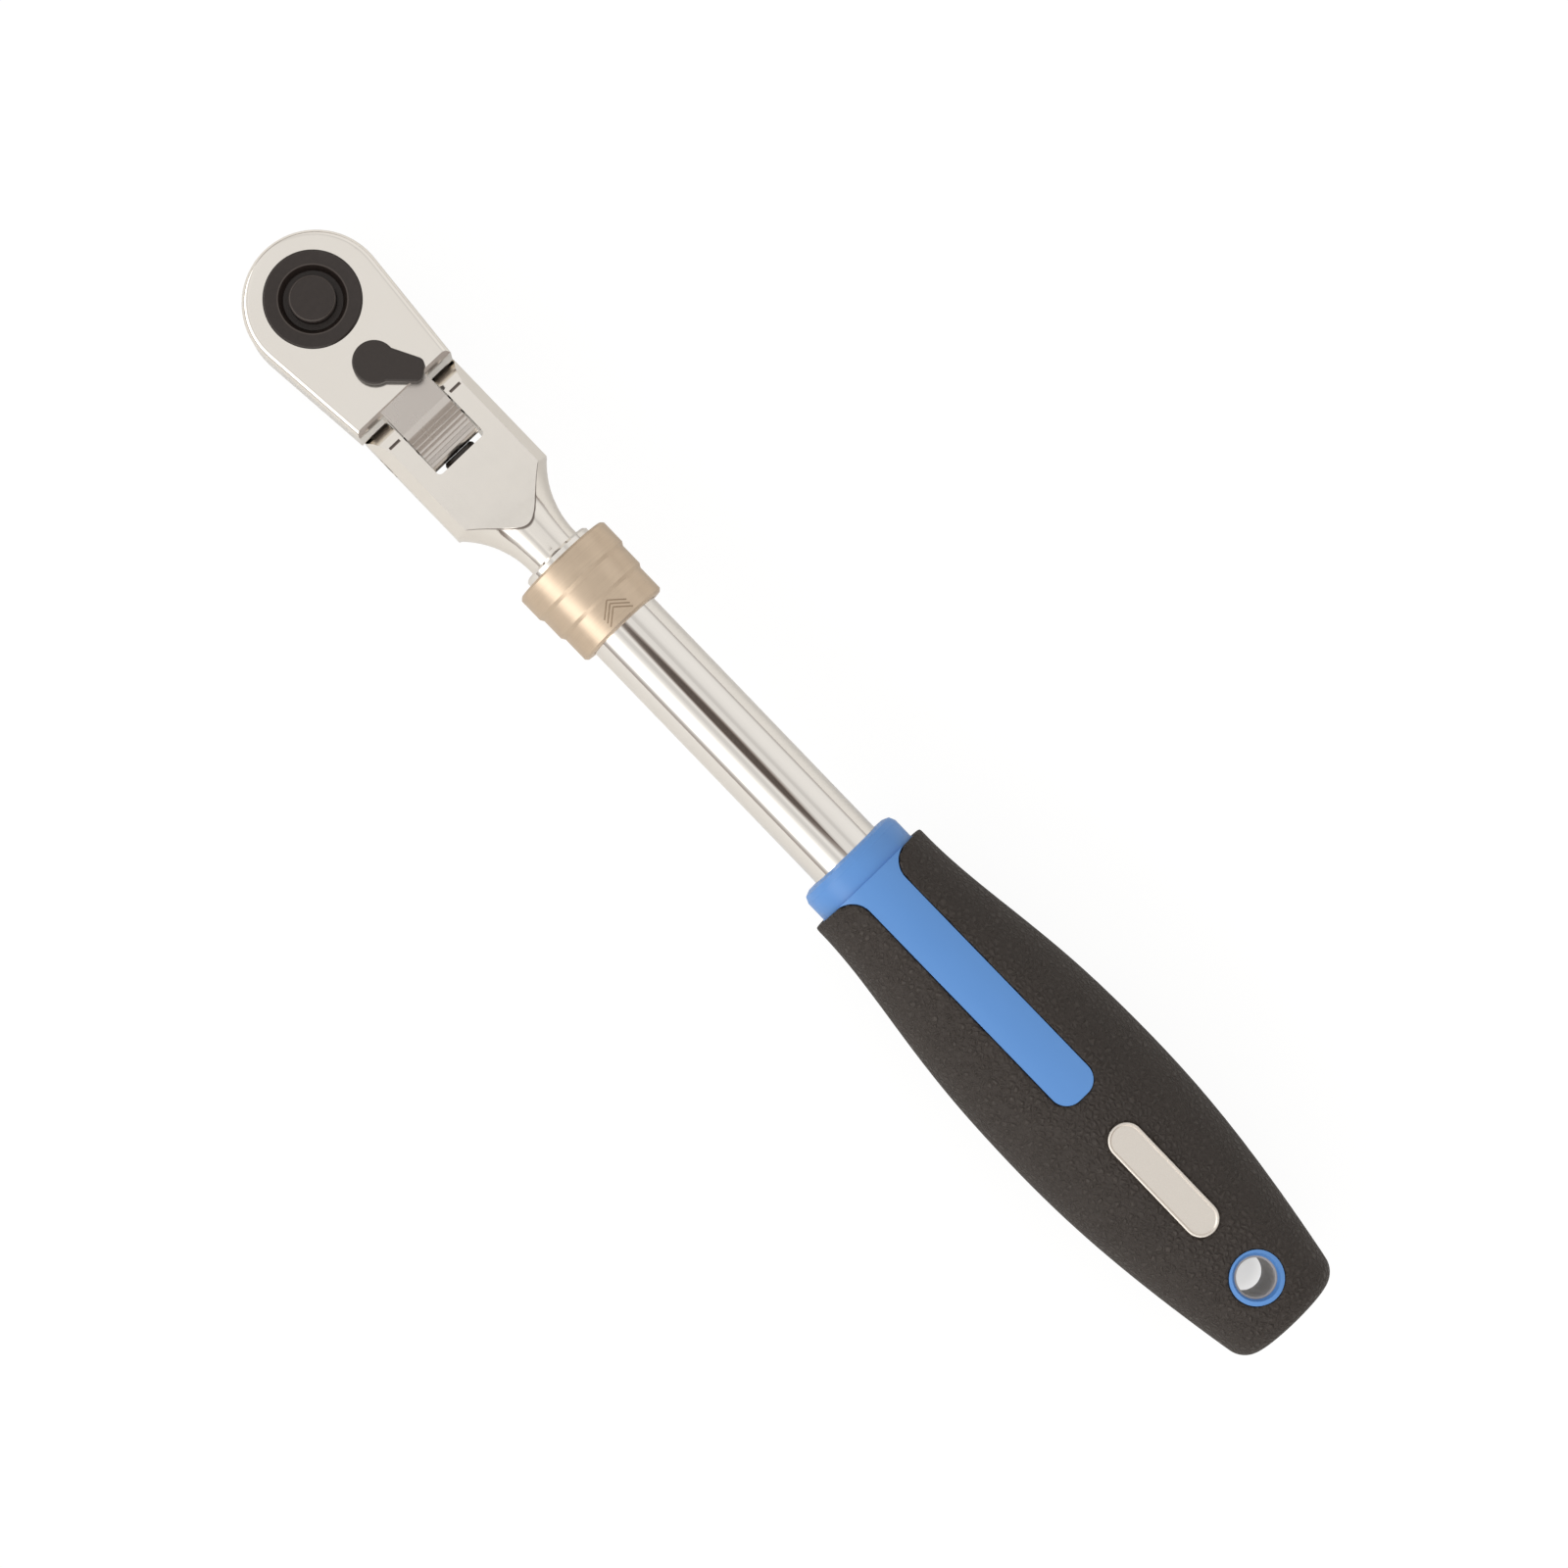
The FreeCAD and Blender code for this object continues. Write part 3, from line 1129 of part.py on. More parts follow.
def make_locking_balls():
    """Three balls at 120 degrees in the tube's holes, the first one on top."""
    for index in range(3):
        turn = f"{120 * index}deg"
        across = f"-lock_offset * sin({turn})"
        up = f"mid_height + lock_offset * cos({turn})"
        make_ball(f"locking_ball_{index + 1}", "lock_ball", "lock_x", across, up)


def check_and_write():
    """Stop on any failed object or bad shape, then write one STEP file for each sub-part."""
    document.recompute()
    for thing in document.Objects:
        if "Invalid" in thing.State or "Error" in thing.State:
            raise RuntimeError(f"{thing.Name} ({thing.Label}): {thing.State}")
    for part in nodes:
        if part.Shape.isNull() or not part.Shape.isValid():
            raise RuntimeError(f"{part.Label}: bad shape")
    os.makedirs("parts", exist_ok=True)
    for part in nodes:
        part.Shape.exportStep(f"parts/{part.Label}.step")
        print(part.Label, len(part.Shape.Solids), round(part.Shape.Volume, 1))


make_head_body()
make_cover_plate()
make_cover_screws()
make_drive_anvil()
make_release_button()
make_button_spring()
make_ball("drive_detent_ball", "ball_radius", "-ball_offset", "0", "mid_height - ball_height")
make_pawl()
make_reversing_lever()
make_lever_plunger()
make_lever_spring()
make_lever_o_ring()
make_hinge_pin()
make_yoke_rod()
make_flex_detent()
make_flex_detent_spring()
make_outer_tube()
make_tube_end_plug()
make_lock_collar()
make_collar_spring()
make_collar_snap_ring()
make_locking_balls()
make_handle_core()
make_grip_overmould()
make_badge()
make_hang_eyelet()
check_and_write()
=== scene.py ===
import math

import bmesh
import bpy
from mathutils import Matrix, Vector


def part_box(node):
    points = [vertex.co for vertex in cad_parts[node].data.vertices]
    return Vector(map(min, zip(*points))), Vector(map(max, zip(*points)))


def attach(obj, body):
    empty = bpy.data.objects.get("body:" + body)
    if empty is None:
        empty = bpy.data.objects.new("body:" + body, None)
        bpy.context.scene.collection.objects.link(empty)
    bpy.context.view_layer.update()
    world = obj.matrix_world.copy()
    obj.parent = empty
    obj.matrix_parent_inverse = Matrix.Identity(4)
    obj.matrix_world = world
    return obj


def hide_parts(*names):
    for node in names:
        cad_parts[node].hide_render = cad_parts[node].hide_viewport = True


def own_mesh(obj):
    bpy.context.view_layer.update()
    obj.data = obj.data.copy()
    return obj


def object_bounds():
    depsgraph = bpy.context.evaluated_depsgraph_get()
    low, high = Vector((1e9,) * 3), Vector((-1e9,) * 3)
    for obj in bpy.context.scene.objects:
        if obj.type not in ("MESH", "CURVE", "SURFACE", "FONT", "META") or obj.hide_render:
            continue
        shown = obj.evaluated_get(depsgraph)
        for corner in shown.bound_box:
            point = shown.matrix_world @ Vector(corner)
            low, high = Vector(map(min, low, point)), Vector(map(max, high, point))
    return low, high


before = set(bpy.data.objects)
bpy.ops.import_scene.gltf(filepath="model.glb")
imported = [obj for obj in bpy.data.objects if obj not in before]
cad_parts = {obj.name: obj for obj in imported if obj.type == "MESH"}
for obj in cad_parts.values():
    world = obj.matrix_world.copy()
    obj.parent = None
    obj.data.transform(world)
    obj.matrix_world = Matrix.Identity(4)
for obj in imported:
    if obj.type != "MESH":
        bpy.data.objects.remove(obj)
cad_box = [list(corner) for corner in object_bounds()]

# The table and the light. The ratchet lies on a pale bench under a wide white tent, with a long bright panel
# on its lower side and the dark lens straight above it, which chrome shows as streaks.

bench = bpy.data.meshes.new("bench")
reach, under = 4.0, cad_box[0][2] - 0.0004
corners = [(x * reach, y * reach, under) for x, y in ((-1, -1), (1, -1), (1, 1), (-1, 1))]
bench.from_pydata(corners, [], [(0, 1, 2, 3)])
bench = bpy.data.objects.new("bench", bench)
bpy.context.scene.collection.objects.link(bench)


class Signal:
    """A value running through a shader, which adds, multiplies and compares as a number does."""

    def __init__(self, tree, socket=None):
        self.tree, self.socket = tree, socket

    def node(self, kind, settings=None, sockets=None, out=0):
        """Any node of the tree: its settings go first, such as a ramp's stops, then its sockets."""
        made = self.tree.nodes.new(kind)
        for name, value in (settings or {}).items():
            if name == "stops":
                stops = made.color_ramp.elements
                while len(stops) < len(value):
                    stops.new(0.5)
                for stop, (place, shade) in zip(stops, value):
                    stop.position = place
                    stop.color = (*((shade,) * 3 if isinstance(shade, float) else shade), 1.0)
            else:
                setattr(made, name, value)
        for name, value in (sockets or {}).items():
            if isinstance(value, Signal):
                self.tree.links.new(value.socket, made.inputs[name])
            else:
                made.inputs[name].default_value = value
        return Signal(self.tree, made.outputs[out] if made.outputs else None)

    def maths(self, operation, *values):
        return self.node("ShaderNodeMath", {"operation": operation}, dict(enumerate(values)))

    def __add__(self, other):
        return self.maths("ADD", self, other)

    def __sub__(self, other):
        return self.maths("SUBTRACT", self, other)

    def __rsub__(self, other):
        return self.maths("SUBTRACT", other, self)

    def __mul__(self, other):
        return self.maths("MULTIPLY", self, other)

    def __truediv__(self, other):
        return self.maths("DIVIDE", self, other)

    def __pow__(self, other):
        return self.maths("POWER", self, other)

    def __abs__(self):
        return self.maths("ABSOLUTE", self)

    __radd__, __rmul__ = __add__, __mul__

    def hypot(self, other):
        return (self * self + other * other) ** 0.5

    def rise(self, low, high):
        """0 below low, 1 above high, with a soft step between."""
        return self.node("ShaderNodeMapRange", {"interpolation_type": "SMOOTHSTEP"},
                         {"Value": self, "From Min": low, "From Max": high})

    def band(self, low, high, soft, fade=None):
        """1 from low to high and 0 outside, over a soft edge. The far edge may have its own width."""
        return self.rise(low, low + soft) * (1 - self.rise(high, high + (fade or soft)))

    def axes(self):
        parts = self.node("ShaderNodeSeparateXYZ", None, {0: self})
        return parts, *[Signal(self.tree, parts.socket.node.outputs[n]) for n in (1, 2)]

    def stretched(self, scale):
        return self.node("ShaderNodeMapping", None, {"Vector": self, "Scale": scale})

    def noise(self, scale, detail=2.0, roughness=0.5):
        return self.node("ShaderNodeTexNoise", None,
                         {"Vector": self, "Scale": scale, "Detail": detail, "Roughness": roughness})

    def shade(self, dark, light):
        """The colour that goes from dark at 0 to light at 1, where either may be a signal."""
        ends = [end if isinstance(end, Signal) else (*end, 1.0) for end in (dark, light)]
        return self.node("ShaderNodeMix", {"data_type": "RGBA"}, {0: self, 6: ends[0], 7: ends[1]}, out=2)


world = bpy.data.worlds.new("light_tent")
bpy.context.scene.world = world
world.use_nodes = True
world.node_tree.nodes.clear()
sky = Signal(world.node_tree)
along, across, upward = sky.node("ShaderNodeTexCoord").axes()
roll = across.maths("ARCTAN2", across, upward)
tent = [(-95, 0.42), (-88, 0.45), (-82, 0.56), (-76, 1.0), (-70, 2.6), (-50, 2.6), (-43, 1.3), (-37, 1.0),
        (-32, 0.84), (-27, 0.72), (-22, 0.80), (-17, 0.96), (-12, 0.9), (11, 0.88), (20, 0.86), (25, 0.85),
        (30, 0.70), (35, 0.72), (40, 0.84), (46, 0.90), (62, 0.94), (80, 0.90), (87, 0.55), (95, 0.5)]
span = 200
glow = roll.node("ShaderNodeValToRGB", {"stops": [(angle / span + 0.5, shade) for angle, shade in tent]},
                 {0: roll / math.radians(span) + 0.5})
lens_along, lens_roll, lens_long, lens_wide = -0.018, math.radians(-1.0), 0.058, math.radians(17.0)
lens_dark, rim_dark = 0.88, 0.78
lens = 1 - ((along - lens_along) / lens_long).hypot((roll - lens_roll) / lens_wide).rise(0.5, 1.0)
rim = (1 - upward.rise(0.04, 0.26)) * abs(along).rise(0.35, 0.85)
glow = glow * (1 - lens * lens_dark) * (1 - rim * rim_dark)
seen = sky.node("ShaderNodeLightPath")
tint = glow.rise(0.0, 0.8).shade((1.0, 0.80, 0.70), (1.0, 0.985, 0.965))
tented = sky.node("ShaderNodeBackground", None, {"Strength": glow, "Color": tint})
plain = sky.node("ShaderNodeBackground", None, {"Color": (1.0, 1.0, 1.0, 1.0)})
whole = sky.node("ShaderNodeMixShader", None, {0: seen, 1: tented, 2: plain})
sky.node("ShaderNodeOutputWorld", None, {"Surface": whole})


def new_finish(name, colour, roughness, **constants):
    """A material, its object coordinates and its shader. Constants are the shader's own sockets."""
    material = bpy.data.materials.new(name)
    material.use_nodes = True
    shader = material.node_tree.nodes["Principled BSDF"]
    shader.inputs["Base Color"].default_value = (*colour, 1.0)
    shader.inputs["Roughness"].default_value = roughness
    for socket, value in constants.items():
        shader.inputs[socket.replace("_", " ")].default_value = value
    place = Signal(material.node_tree).node("ShaderNodeTexCoord", None, None, out="Object")
    material.diffuse_color = (*colour, 1.0)
    return material, place, shader


def feed(shader, **signals):
    for socket, signal in signals.items():
        signal.tree.links.new(signal.socket, shader.inputs[socket.replace("_", " ")])


def emboss(shader, height, strength, depth):
    bump = height.node("ShaderNodeBump", None, {"Height": height, "Strength": strength, "Distance": depth})
    feed(shader, Normal=bump)


bench_paint, place, shader = new_finish("bench_paint", (0.82, 0.81, 0.79), 0.7)
feed(shader, Roughness=place.noise(9.0) * 0.1 + 0.65)

# The bench glows towards the camera, which keeps it white and takes most of the shadow off it. Under the
# hanging hole it glows less, in a soft round patch of painted shade, so that the bench's real shading from
# the handle shows there.

glowing, shade_share, sheet_strength = 0.86, 0.62, 1.06
shade_core, shade_edge = 0.0030, 0.0085
hole_x = sum(corner.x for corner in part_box("hang_eyelet")) / 2
from_hole, aside, _ = place.axes()
# A soft round patch of painted shade under the hanging hole.
shaded = 1 - (from_hole - hole_x).hypot(aside).rise(shade_core, shade_edge)
sheet = place.node("ShaderNodeEmission", None, {"Color": (1.0, 1.0, 1.0, 1.0), "Strength": sheet_strength})
seen = place.node("ShaderNodeLightPath") * glowing * (1 - shaded * shade_share)
paint = Signal(bench_paint.node_tree, shader.outputs[0])
whole = place.node("ShaderNodeMixShader", None, {0: seen, 1: paint, 2: sheet})
surface = bench_paint.node_tree.nodes["Material Output"].inputs["Surface"]
bench_paint.node_tree.links.new(whole.socket, surface)
bench.data.materials.append(bench_paint)

# The camera looks down on the middle of the ratchet, a little from its near side, and is turned so that the
# tool lies slanting in the view.

lens_height, half_view, tilt, turn = 0.9, 0.160, 0.050, math.radians(46.03)
aim = Vector((0.1371, 0.00105, 0.0188))
bpy.context.scene.view_settings.view_transform = "Standard"
camera = bpy.data.objects.new("camera", bpy.data.cameras.new("camera"))
bpy.context.scene.collection.objects.link(camera)
bpy.context.scene.camera = camera
camera.data.sensor_width = 36.0
camera.data.lens = camera.data.sensor_width / 2 * lens_height / half_view
camera.data.clip_start = 0.01
stand = aim + Vector((0.0, -tilt, lens_height))
back = (stand - aim).normalized()
right = Vector((-math.sin(turn), math.cos(turn), 0.0)).cross(back).normalized()
facing = Matrix((right, back.cross(right), back)).transposed().to_4x4()
camera.matrix_world = Matrix.Translation(stand) @ facing

# The head and its cover plate: a drop-forged alloy steel body, polished and chrome plated, and a steel plate
# let into its underside by two small screws. The plating is mirror bright with a faint haze from the buffing.
# On the milled tongue of the hinge it is rougher, and it is painted greyer there as a painted darker
# reflection.


def dress(node, material):
    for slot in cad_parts[node].material_slots:
        slot.material = material


def buff(place, shader, haziness):
    """Ripple a plated surface faintly, and give its roughness and its colour."""
    haze = place.noise(140.0, 3.0)
    hairlines = place.stretched((60.0, 2400.0, 900.0)).noise(1.0, 2.0, 0.6)
    emboss(shader, place.noise(260.0, 2.0), 0.05, 0.0002)
    return haze * haziness + hairlines * 0.03 + 0.04, haze.shade((0.82, 0.779, 0.724), (0.86, 0.825, 0.774))


tongue_length, tongue_half = 0.0159, 0.0060
bright_chrome, place, shader = new_finish("bright_chrome", (0.84, 0.805, 0.76), 0.1, Metallic=1.0)
along, across, _ = place.axes()
dulled, plated = buff(place, shader, 0.09)
tongue_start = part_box("head_body")[1].x - tongue_length
beside = abs(across).rise(tongue_half, tongue_half + 0.00005)
# The tongue's greyer colour is painted: a painted darker reflection, along with a real rougher finish.
tongue_painted_grey = along.rise(tongue_start, tongue_start + 0.0002) * (1 - beside)
feed(shader, Roughness=dulled + tongue_painted_grey * 0.16, Base_Color=(tongue_painted_grey * 0.85).shade(plated, (0.60, 0.555, 0.52)))
dress("head_body", bright_chrome)

ground_steel, place, shader = new_finish("ground_steel", (0.5, 0.48, 0.46), 0.34, Metallic=1.0)
grind = place.stretched((150.0, 5200.0, 150.0)).noise(1.0, 3.0, 0.65)
feed(shader, Roughness=grind * 0.18 + 0.24,
     Base_Color=grind.shade((0.42, 0.40, 0.385), (0.56, 0.545, 0.525)))
emboss(shader, grind, 0.18, 0.00006)
dress("cover_plate", ground_steel)

screw_black, place, shader = new_finish("screw_black", (0.045, 0.042, 0.040), 0.42, Metallic=0.7)
feed(shader, Roughness=place.noise(2400.0, 3.0) * 0.25 + 0.32)
dress("cover_screws", screw_black)

# The drive and its release button: hardened steel, turned and blackened. The disc's face carries fine turning
# rings and a shallow recess round the button, and paler rings are painted at the edges of both as highlights.

turned_black, place, shader = new_finish("turned_black", (0.026, 0.019, 0.016), 0.42, Specular_IOR_Level=0.42)
out_x, out_y, _ = place.axes()
from_axis = out_x.hypot(out_y)
rings = place.maths("SINE", from_axis * 26000.0 + place.noise(420.0) * 0.8)
blotch = place.noise(900.0, 4.0, 0.62)
# Paler rings at the recess's rim and at the button's edge: painted highlights.
recess_edge, button_edge = [(abs(from_axis - edge) / width).rise(0.0, 1.0)
                            for edge, width in ((0.00715, 0.00022), (0.00455, 0.00016))]
painted_rim_highlights = 1 - recess_edge * button_edge
blackened = blotch.shade((0.017, 0.0115, 0.0095), (0.031, 0.0225, 0.0195))
feed(shader, Base_Color=(painted_rim_highlights * 0.8).shade(blackened, (0.075, 0.060, 0.052)),
     Roughness=blotch * 0.22 + rings * 0.03 + 0.34)
emboss(shader, rings * 0.35 + blotch, 0.14, 0.00008)
for node in ("drive_anvil", "release_button"):
    dress(node, turned_black)

# The balls, the hinge pin, the pawl and the lever's plunger: small hardened steel pieces, ground and left
# bare, because each of them rubs or rolls on another piece.

plain_steel, place, shader = new_finish("plain_steel", (0.62, 0.605, 0.59), 0.22, Metallic=1.0)
tool_marks = place.noise(1800.0, 3.0, 0.6)
feed(shader, Roughness=tool_marks * 0.2 + 0.14,
     Base_Color=tool_marks.shade((0.54, 0.525, 0.51), (0.68, 0.665, 0.65)))
emboss(shader, tool_marks, 0.08, 0.00005)
for node in ("drive_detent_ball", "locking_ball_1", "locking_ball_2", "locking_ball_3", "hinge_pin", "pawl",
             "lever_plunger"):
    dress(node, plain_steel)

# The springs and the collar's snap ring: drawn spring wire, coiled. The collar's spring and the button's
# spring are made again as welded copies, carried by the handle and the drive.

spring_wire, place, shader = new_finish("spring_wire", (0.36, 0.35, 0.34), 0.28, Metallic=1.0)
drawn = place.noise(3200.0, 2.0)
feed(shader, Roughness=drawn * 0.2 + 0.2, Base_Color=drawn.shade((0.28, 0.272, 0.265), (0.42, 0.41, 0.40)))
for node in ("button_spring", "lever_spring", "flex_detent_spring", "collar_spring", "collar_snap_ring"):
    dress(node, spring_wire)


def welded_copy(node, name, material):
    """A copy of a CAD node's mesh with its corners merged, as a new object with one material."""
    mesh = bpy.data.meshes.new(name)
    welded = bmesh.new()
    welded.from_mesh(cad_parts[node].data)
    bmesh.ops.transform(welded, matrix=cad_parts[node].matrix_world, verts=welded.verts)
    bmesh.ops.remove_doubles(welded, verts=welded.verts, dist=1e-6)
    welded.to_mesh(mesh)
    welded.free()
    mesh.materials.clear()
    mesh.materials.append(material)
    mesh.shade_smooth()
    mesh.set_sharp_from_angle(angle=math.radians(40))
    piece = bpy.data.objects.new(name, mesh)
    bpy.context.scene.collection.objects.link(piece)
    return piece


for node, body, joint, axis, travel in (("collar_spring", "handle", "collar_slide", (1, 0, 0), 0.0031),
                                        ("button_spring", "drive", "button_press", (0, 0, 1), 0.0021)):
    coil = welded_copy(node, node + "_coil", spring_wire)
    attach(coil, body)
    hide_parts(node)
    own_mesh(coil)

# The reversing lever and the flex detent: two small pieces of sintered steel, blackened. The lever turns in
# the head on a rubber ring, and the detent slides in a slot of the yoke.

sintered_black, place, shader = new_finish("sintered_black", (0.026, 0.019, 0.016), 0.5,
                                           Specular_IOR_Level=0.45)
grains = place.noise(3800.0, 3.0, 0.7)
feed(shader, Roughness=grains * 0.2 + 0.36,
     Base_Color=grains.shade((0.017, 0.012, 0.010), (0.036, 0.027, 0.023)))
emboss(shader, grains, 0.22, 0.00006)
for node in ("reversing_lever", "flex_detent"):
    dress(node, sintered_black)

seal_rubber, place, shader = new_finish("seal_rubber", (0.02, 0.02, 0.02), 0.6)
feed(shader, Roughness=place.noise(2600.0, 2.0) * 0.2 + 0.5)
dress("lever_o_ring", seal_rubber)

# The yoke: one chrome-plated forging from the hinge fork through the flare to the sliding rod. The round
# fronts of the ears, the short groove on each ear and the crease round the flare are darkened by position
# with painted shade, standing in for the shade and dark reflections there.

crease_start, groove_start, groove_width, groove_floor = 0.0277, 0.00496, 0.0007, 0.0012
nose_length, nose_dark, painted_shade_colour = 0.0014, 0.75, (0.13, 0.10, 0.085)
yoke_chrome, place, shader = new_finish("yoke_chrome", (0.84, 0.805, 0.76), 0.1, Metallic=1.0)
along, across, upward = place.axes()
yoke_low, yoke_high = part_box("yoke_rod")
depth = (yoke_high.z - yoke_low.z) / 2 - abs(upward - (yoke_low.z + yoke_high.z) / 2)
from_front, out = along - yoke_low.x, abs(across)
# Crease, ear noses and groove: painted shade, laid on by position.
crease = from_front.rise(crease_start, crease_start + 0.0004) * depth.band(0.00002, 0.00016, 0.00004, 0.00014)
noses = (1 - from_front.rise(nose_length, nose_length + 0.0016)) * out.band(0.0066, 0.0104, 0.0001, 0.0008)
groove = from_front.band(groove_start, groove_start + groove_width, 0.00004)
groove = groove * out.band(0.0070, 0.0098, 0.0001) * (1 - depth.rise(groove_floor, groove_floor + 0.0001))
dark = crease.maths("MINIMUM", crease + noses * nose_dark + groove, 1.0)
dulled, plated = buff(place, shader, 0.08)
feed(shader, Roughness=dulled + dark * 0.3, Base_Color=(dark * 0.9).shade(plated, painted_shade_colour))
dress("yoke_rod", yoke_chrome)

# The handle tube and its plug: drawn steel tube, chrome plated after polishing along its length, and the plug
# that closes its far end inside the handle.

tube_chrome, place, shader = new_finish("tube_chrome", (0.84, 0.81, 0.77), 0.05, Metallic=1.0)
polish = place.stretched((26.0, 900.0, 900.0)).noise(1.0, 3.0, 0.6)
feed(shader, Roughness=polish * 0.05 + 0.025,
     Base_Color=polish.shade((0.82, 0.788, 0.745), (0.86, 0.832, 0.792)))
emboss(shader, place.stretched((14.0, 120.0, 120.0)).noise(1.0, 1.0), 0.04, 0.0003)
for node in ("outer_tube", "tube_end_plug"):
    dress(node, tube_chrome)

# The lock collar: turned steel in three steps, nickel plated and brushed round to a satin champagne. Three
# nested arrow strokes on its last step are lightly etched, and show which way it slides.

satin_nickel, place, shader = new_finish("satin_nickel", (0.68, 0.55, 0.43), 0.3, Metallic=1.0)
brush = place.stretched((6500.0, 90.0, 90.0)).noise(1.0, 3.0, 0.6)
cloud = place.noise(320.0, 3.0)
feed(shader, Base_Color=(brush * 0.6 + cloud * 0.4).shade((0.52, 0.41, 0.305), (0.73, 0.595, 0.455)),
     Roughness=brush * 0.14 + 0.31)
emboss(shader, brush, 0.16, 0.00005)
dress("lock_collar", satin_nickel)

etched, place, shader = new_finish("etched_mark", (0.36, 0.27, 0.19), 0.5, Metallic=0.8)
feed(shader, Base_Color=place.noise(2600.0).shade((0.30, 0.22, 0.15), (0.42, 0.32, 0.23)))


def settle(piece):
    """The plain mesh that the object's modifiers make."""
    return bpy.data.meshes.new_from_object(piece.evaluated_get(bpy.context.evaluated_depsgraph_get()))


class Flow:
    """A geometry node group that is built one node at a time, with named inputs."""

    def __init__(self, name):
        self.tree = bpy.data.node_groups.new(name, "GeometryNodeTree")
        self.tree.interface.new_socket("Geometry", in_out="OUTPUT", socket_type="NodeSocketGeometry")
        self.given = self.tree.nodes.new("NodeGroupInput")
        self.values = {}

    def ask(self, name, kind, value):
        """A named input of the group with the value that it gets."""
        socket = self.tree.interface.new_socket(name, in_out="INPUT", socket_type="NodeSocket" + kind)
        self.values[socket.identifier] = value
        return self.given.outputs[name]

    def node(self, kind, sockets=None, out=0, **settings):
        made = self.tree.nodes.new(kind)
        for name, value in settings.items():
            setattr(made, name, value)
        for name, value in (sockets or {}).items():
            for one in value if isinstance(value, list) else [value]:
                if isinstance(one, bpy.types.NodeSocket):
                    self.tree.links.new(one, made.inputs[name])
                else:
                    made.inputs[name].default_value = one
        return made.outputs[out]

    def maths(self, operation, *values):
        return self.node("ShaderNodeMath", dict(enumerate(values)), operation=operation)

    def grow(self, geometry, material, name):
        """Run the group once and keep its plain mesh as a new object."""
        painted = self.node("GeometryNodeSetMaterial", {"Geometry": geometry, "Material": material})
        self.tree.links.new(painted, self.tree.nodes.new("NodeGroupOutput").inputs[0])
        piece = bpy.data.objects.new(name, bpy.data.meshes.new(name + "_seed"))
        bpy.context.scene.collection.objects.link(piece)
        modifier = piece.modifiers.new("flow", "NODES")
        modifier.node_group = self.tree
        for identifier, value in self.values.items():
            modifier[identifier] = value
        piece.data = settle(piece)
        piece.modifiers.clear()
        return piece


collar_low, collar_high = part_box("lock_collar")
arm_points, stroke_sides, flattened, off_middle = 14, 6, 0.16, 0.0004
arrows = Flow("arrow_strokes")
strokes = arrows.ask("Strokes", "Int", 3)
apart = arrows.ask("Spacing", "Float", 0.00095)
arm_out = arrows.ask("Arm reach", "Float", 0.0031)
arm_back = arrows.ask("Arm length", "Float", 0.0026)
breadth = arrows.ask("Stroke width", "Float", 0.00030)
round_radius = arrows.ask("Collar radius", "Float", 0.01062)
apex = arrows.ask("Apex", "Float", collar_high.x - 0.0056)
axis_up = arrows.ask("Axis height", "Float", (collar_low.z + collar_high.z) / 2)
arms = []
for side in (1, -1):
    tip = arrows.node("ShaderNodeCombineXYZ", {"X": arm_back, "Y": arrows.maths("MULTIPLY", arm_out, side)})
    arms.append(arrows.node("GeometryNodeCurvePrimitiveLine", {"End": tip}))
joined = arrows.node("GeometryNodeJoinGeometry", {0: arms})
arrow = arrows.node("GeometryNodeResampleCurve", {"Curve": joined, "Count": arm_points})
stroke_radius = arrows.maths("MULTIPLY", breadth, 0.5)
outline = arrows.node("GeometryNodeCurvePrimitiveCircle",
                      {"Resolution": stroke_sides, "Radius": stroke_radius})
line = arrows.node("GeometryNodeCurveToMesh", {"Curve": arrow, "Profile Curve": outline, "Fill Caps": True})
first = arrows.node("ShaderNodeCombineXYZ", {"X": apex, "Y": off_middle})
onward = arrows.node("ShaderNodeCombineXYZ", {"X": apart})
places = arrows.node("GeometryNodeMeshLine", {"Count": strokes, "Start Location": first, "Offset": onward})
set_out = arrows.node("GeometryNodeInstanceOnPoints", {"Points": places, "Instance": line})
real = arrows.node("GeometryNodeRealizeInstances", {"Geometry": set_out})
split = arrows.tree.nodes.new("ShaderNodeSeparateXYZ")
arrows.tree.links.new(arrows.node("GeometryNodeInputPosition"), split.inputs[0])
square = [arrows.maths("MULTIPLY", value, value) for value in (round_radius, split.outputs[1])]
on_round = arrows.maths("ADD", axis_up, arrows.maths("SQRT", arrows.maths("SUBTRACT", *square)))
height = arrows.maths("ADD", on_round, arrows.maths("MULTIPLY", split.outputs[2], flattened))
wrapped = arrows.node("ShaderNodeCombineXYZ", {"X": split.outputs[0], "Y": split.outputs[1], "Z": height})
laid = arrows.node("GeometryNodeSetPosition", {"Geometry": real, "Position": wrapped})
marks = arrows.grow(laid, etched, "collar_arrows")
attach(marks, "collar")

# The handle core: blue nylon moulded over the tube. Its smooth front collar and the two long stripes show,
# and the rest is under the grip.

blue_nylon, place, shader = new_finish("blue_nylon", (0.095, 0.26, 0.60), 0.36)
swirl = place.stretched((30.0, 90.0, 90.0)).noise(1.0, 2.0)
feed(shader, Base_Color=swirl.shade((0.088, 0.248, 0.58), (0.105, 0.275, 0.63)),
     Roughness=place.noise(1500.0, 3.0) * 0.12 + 0.3)
emboss(shader, place.noise(2600.0, 2.0), 0.05, 0.00005)
dress("handle_core", blue_nylon)

# The grip: a soft black elastomer moulded over the core, with rounded lips along the stripes and a fine
# leather grain from the mould.

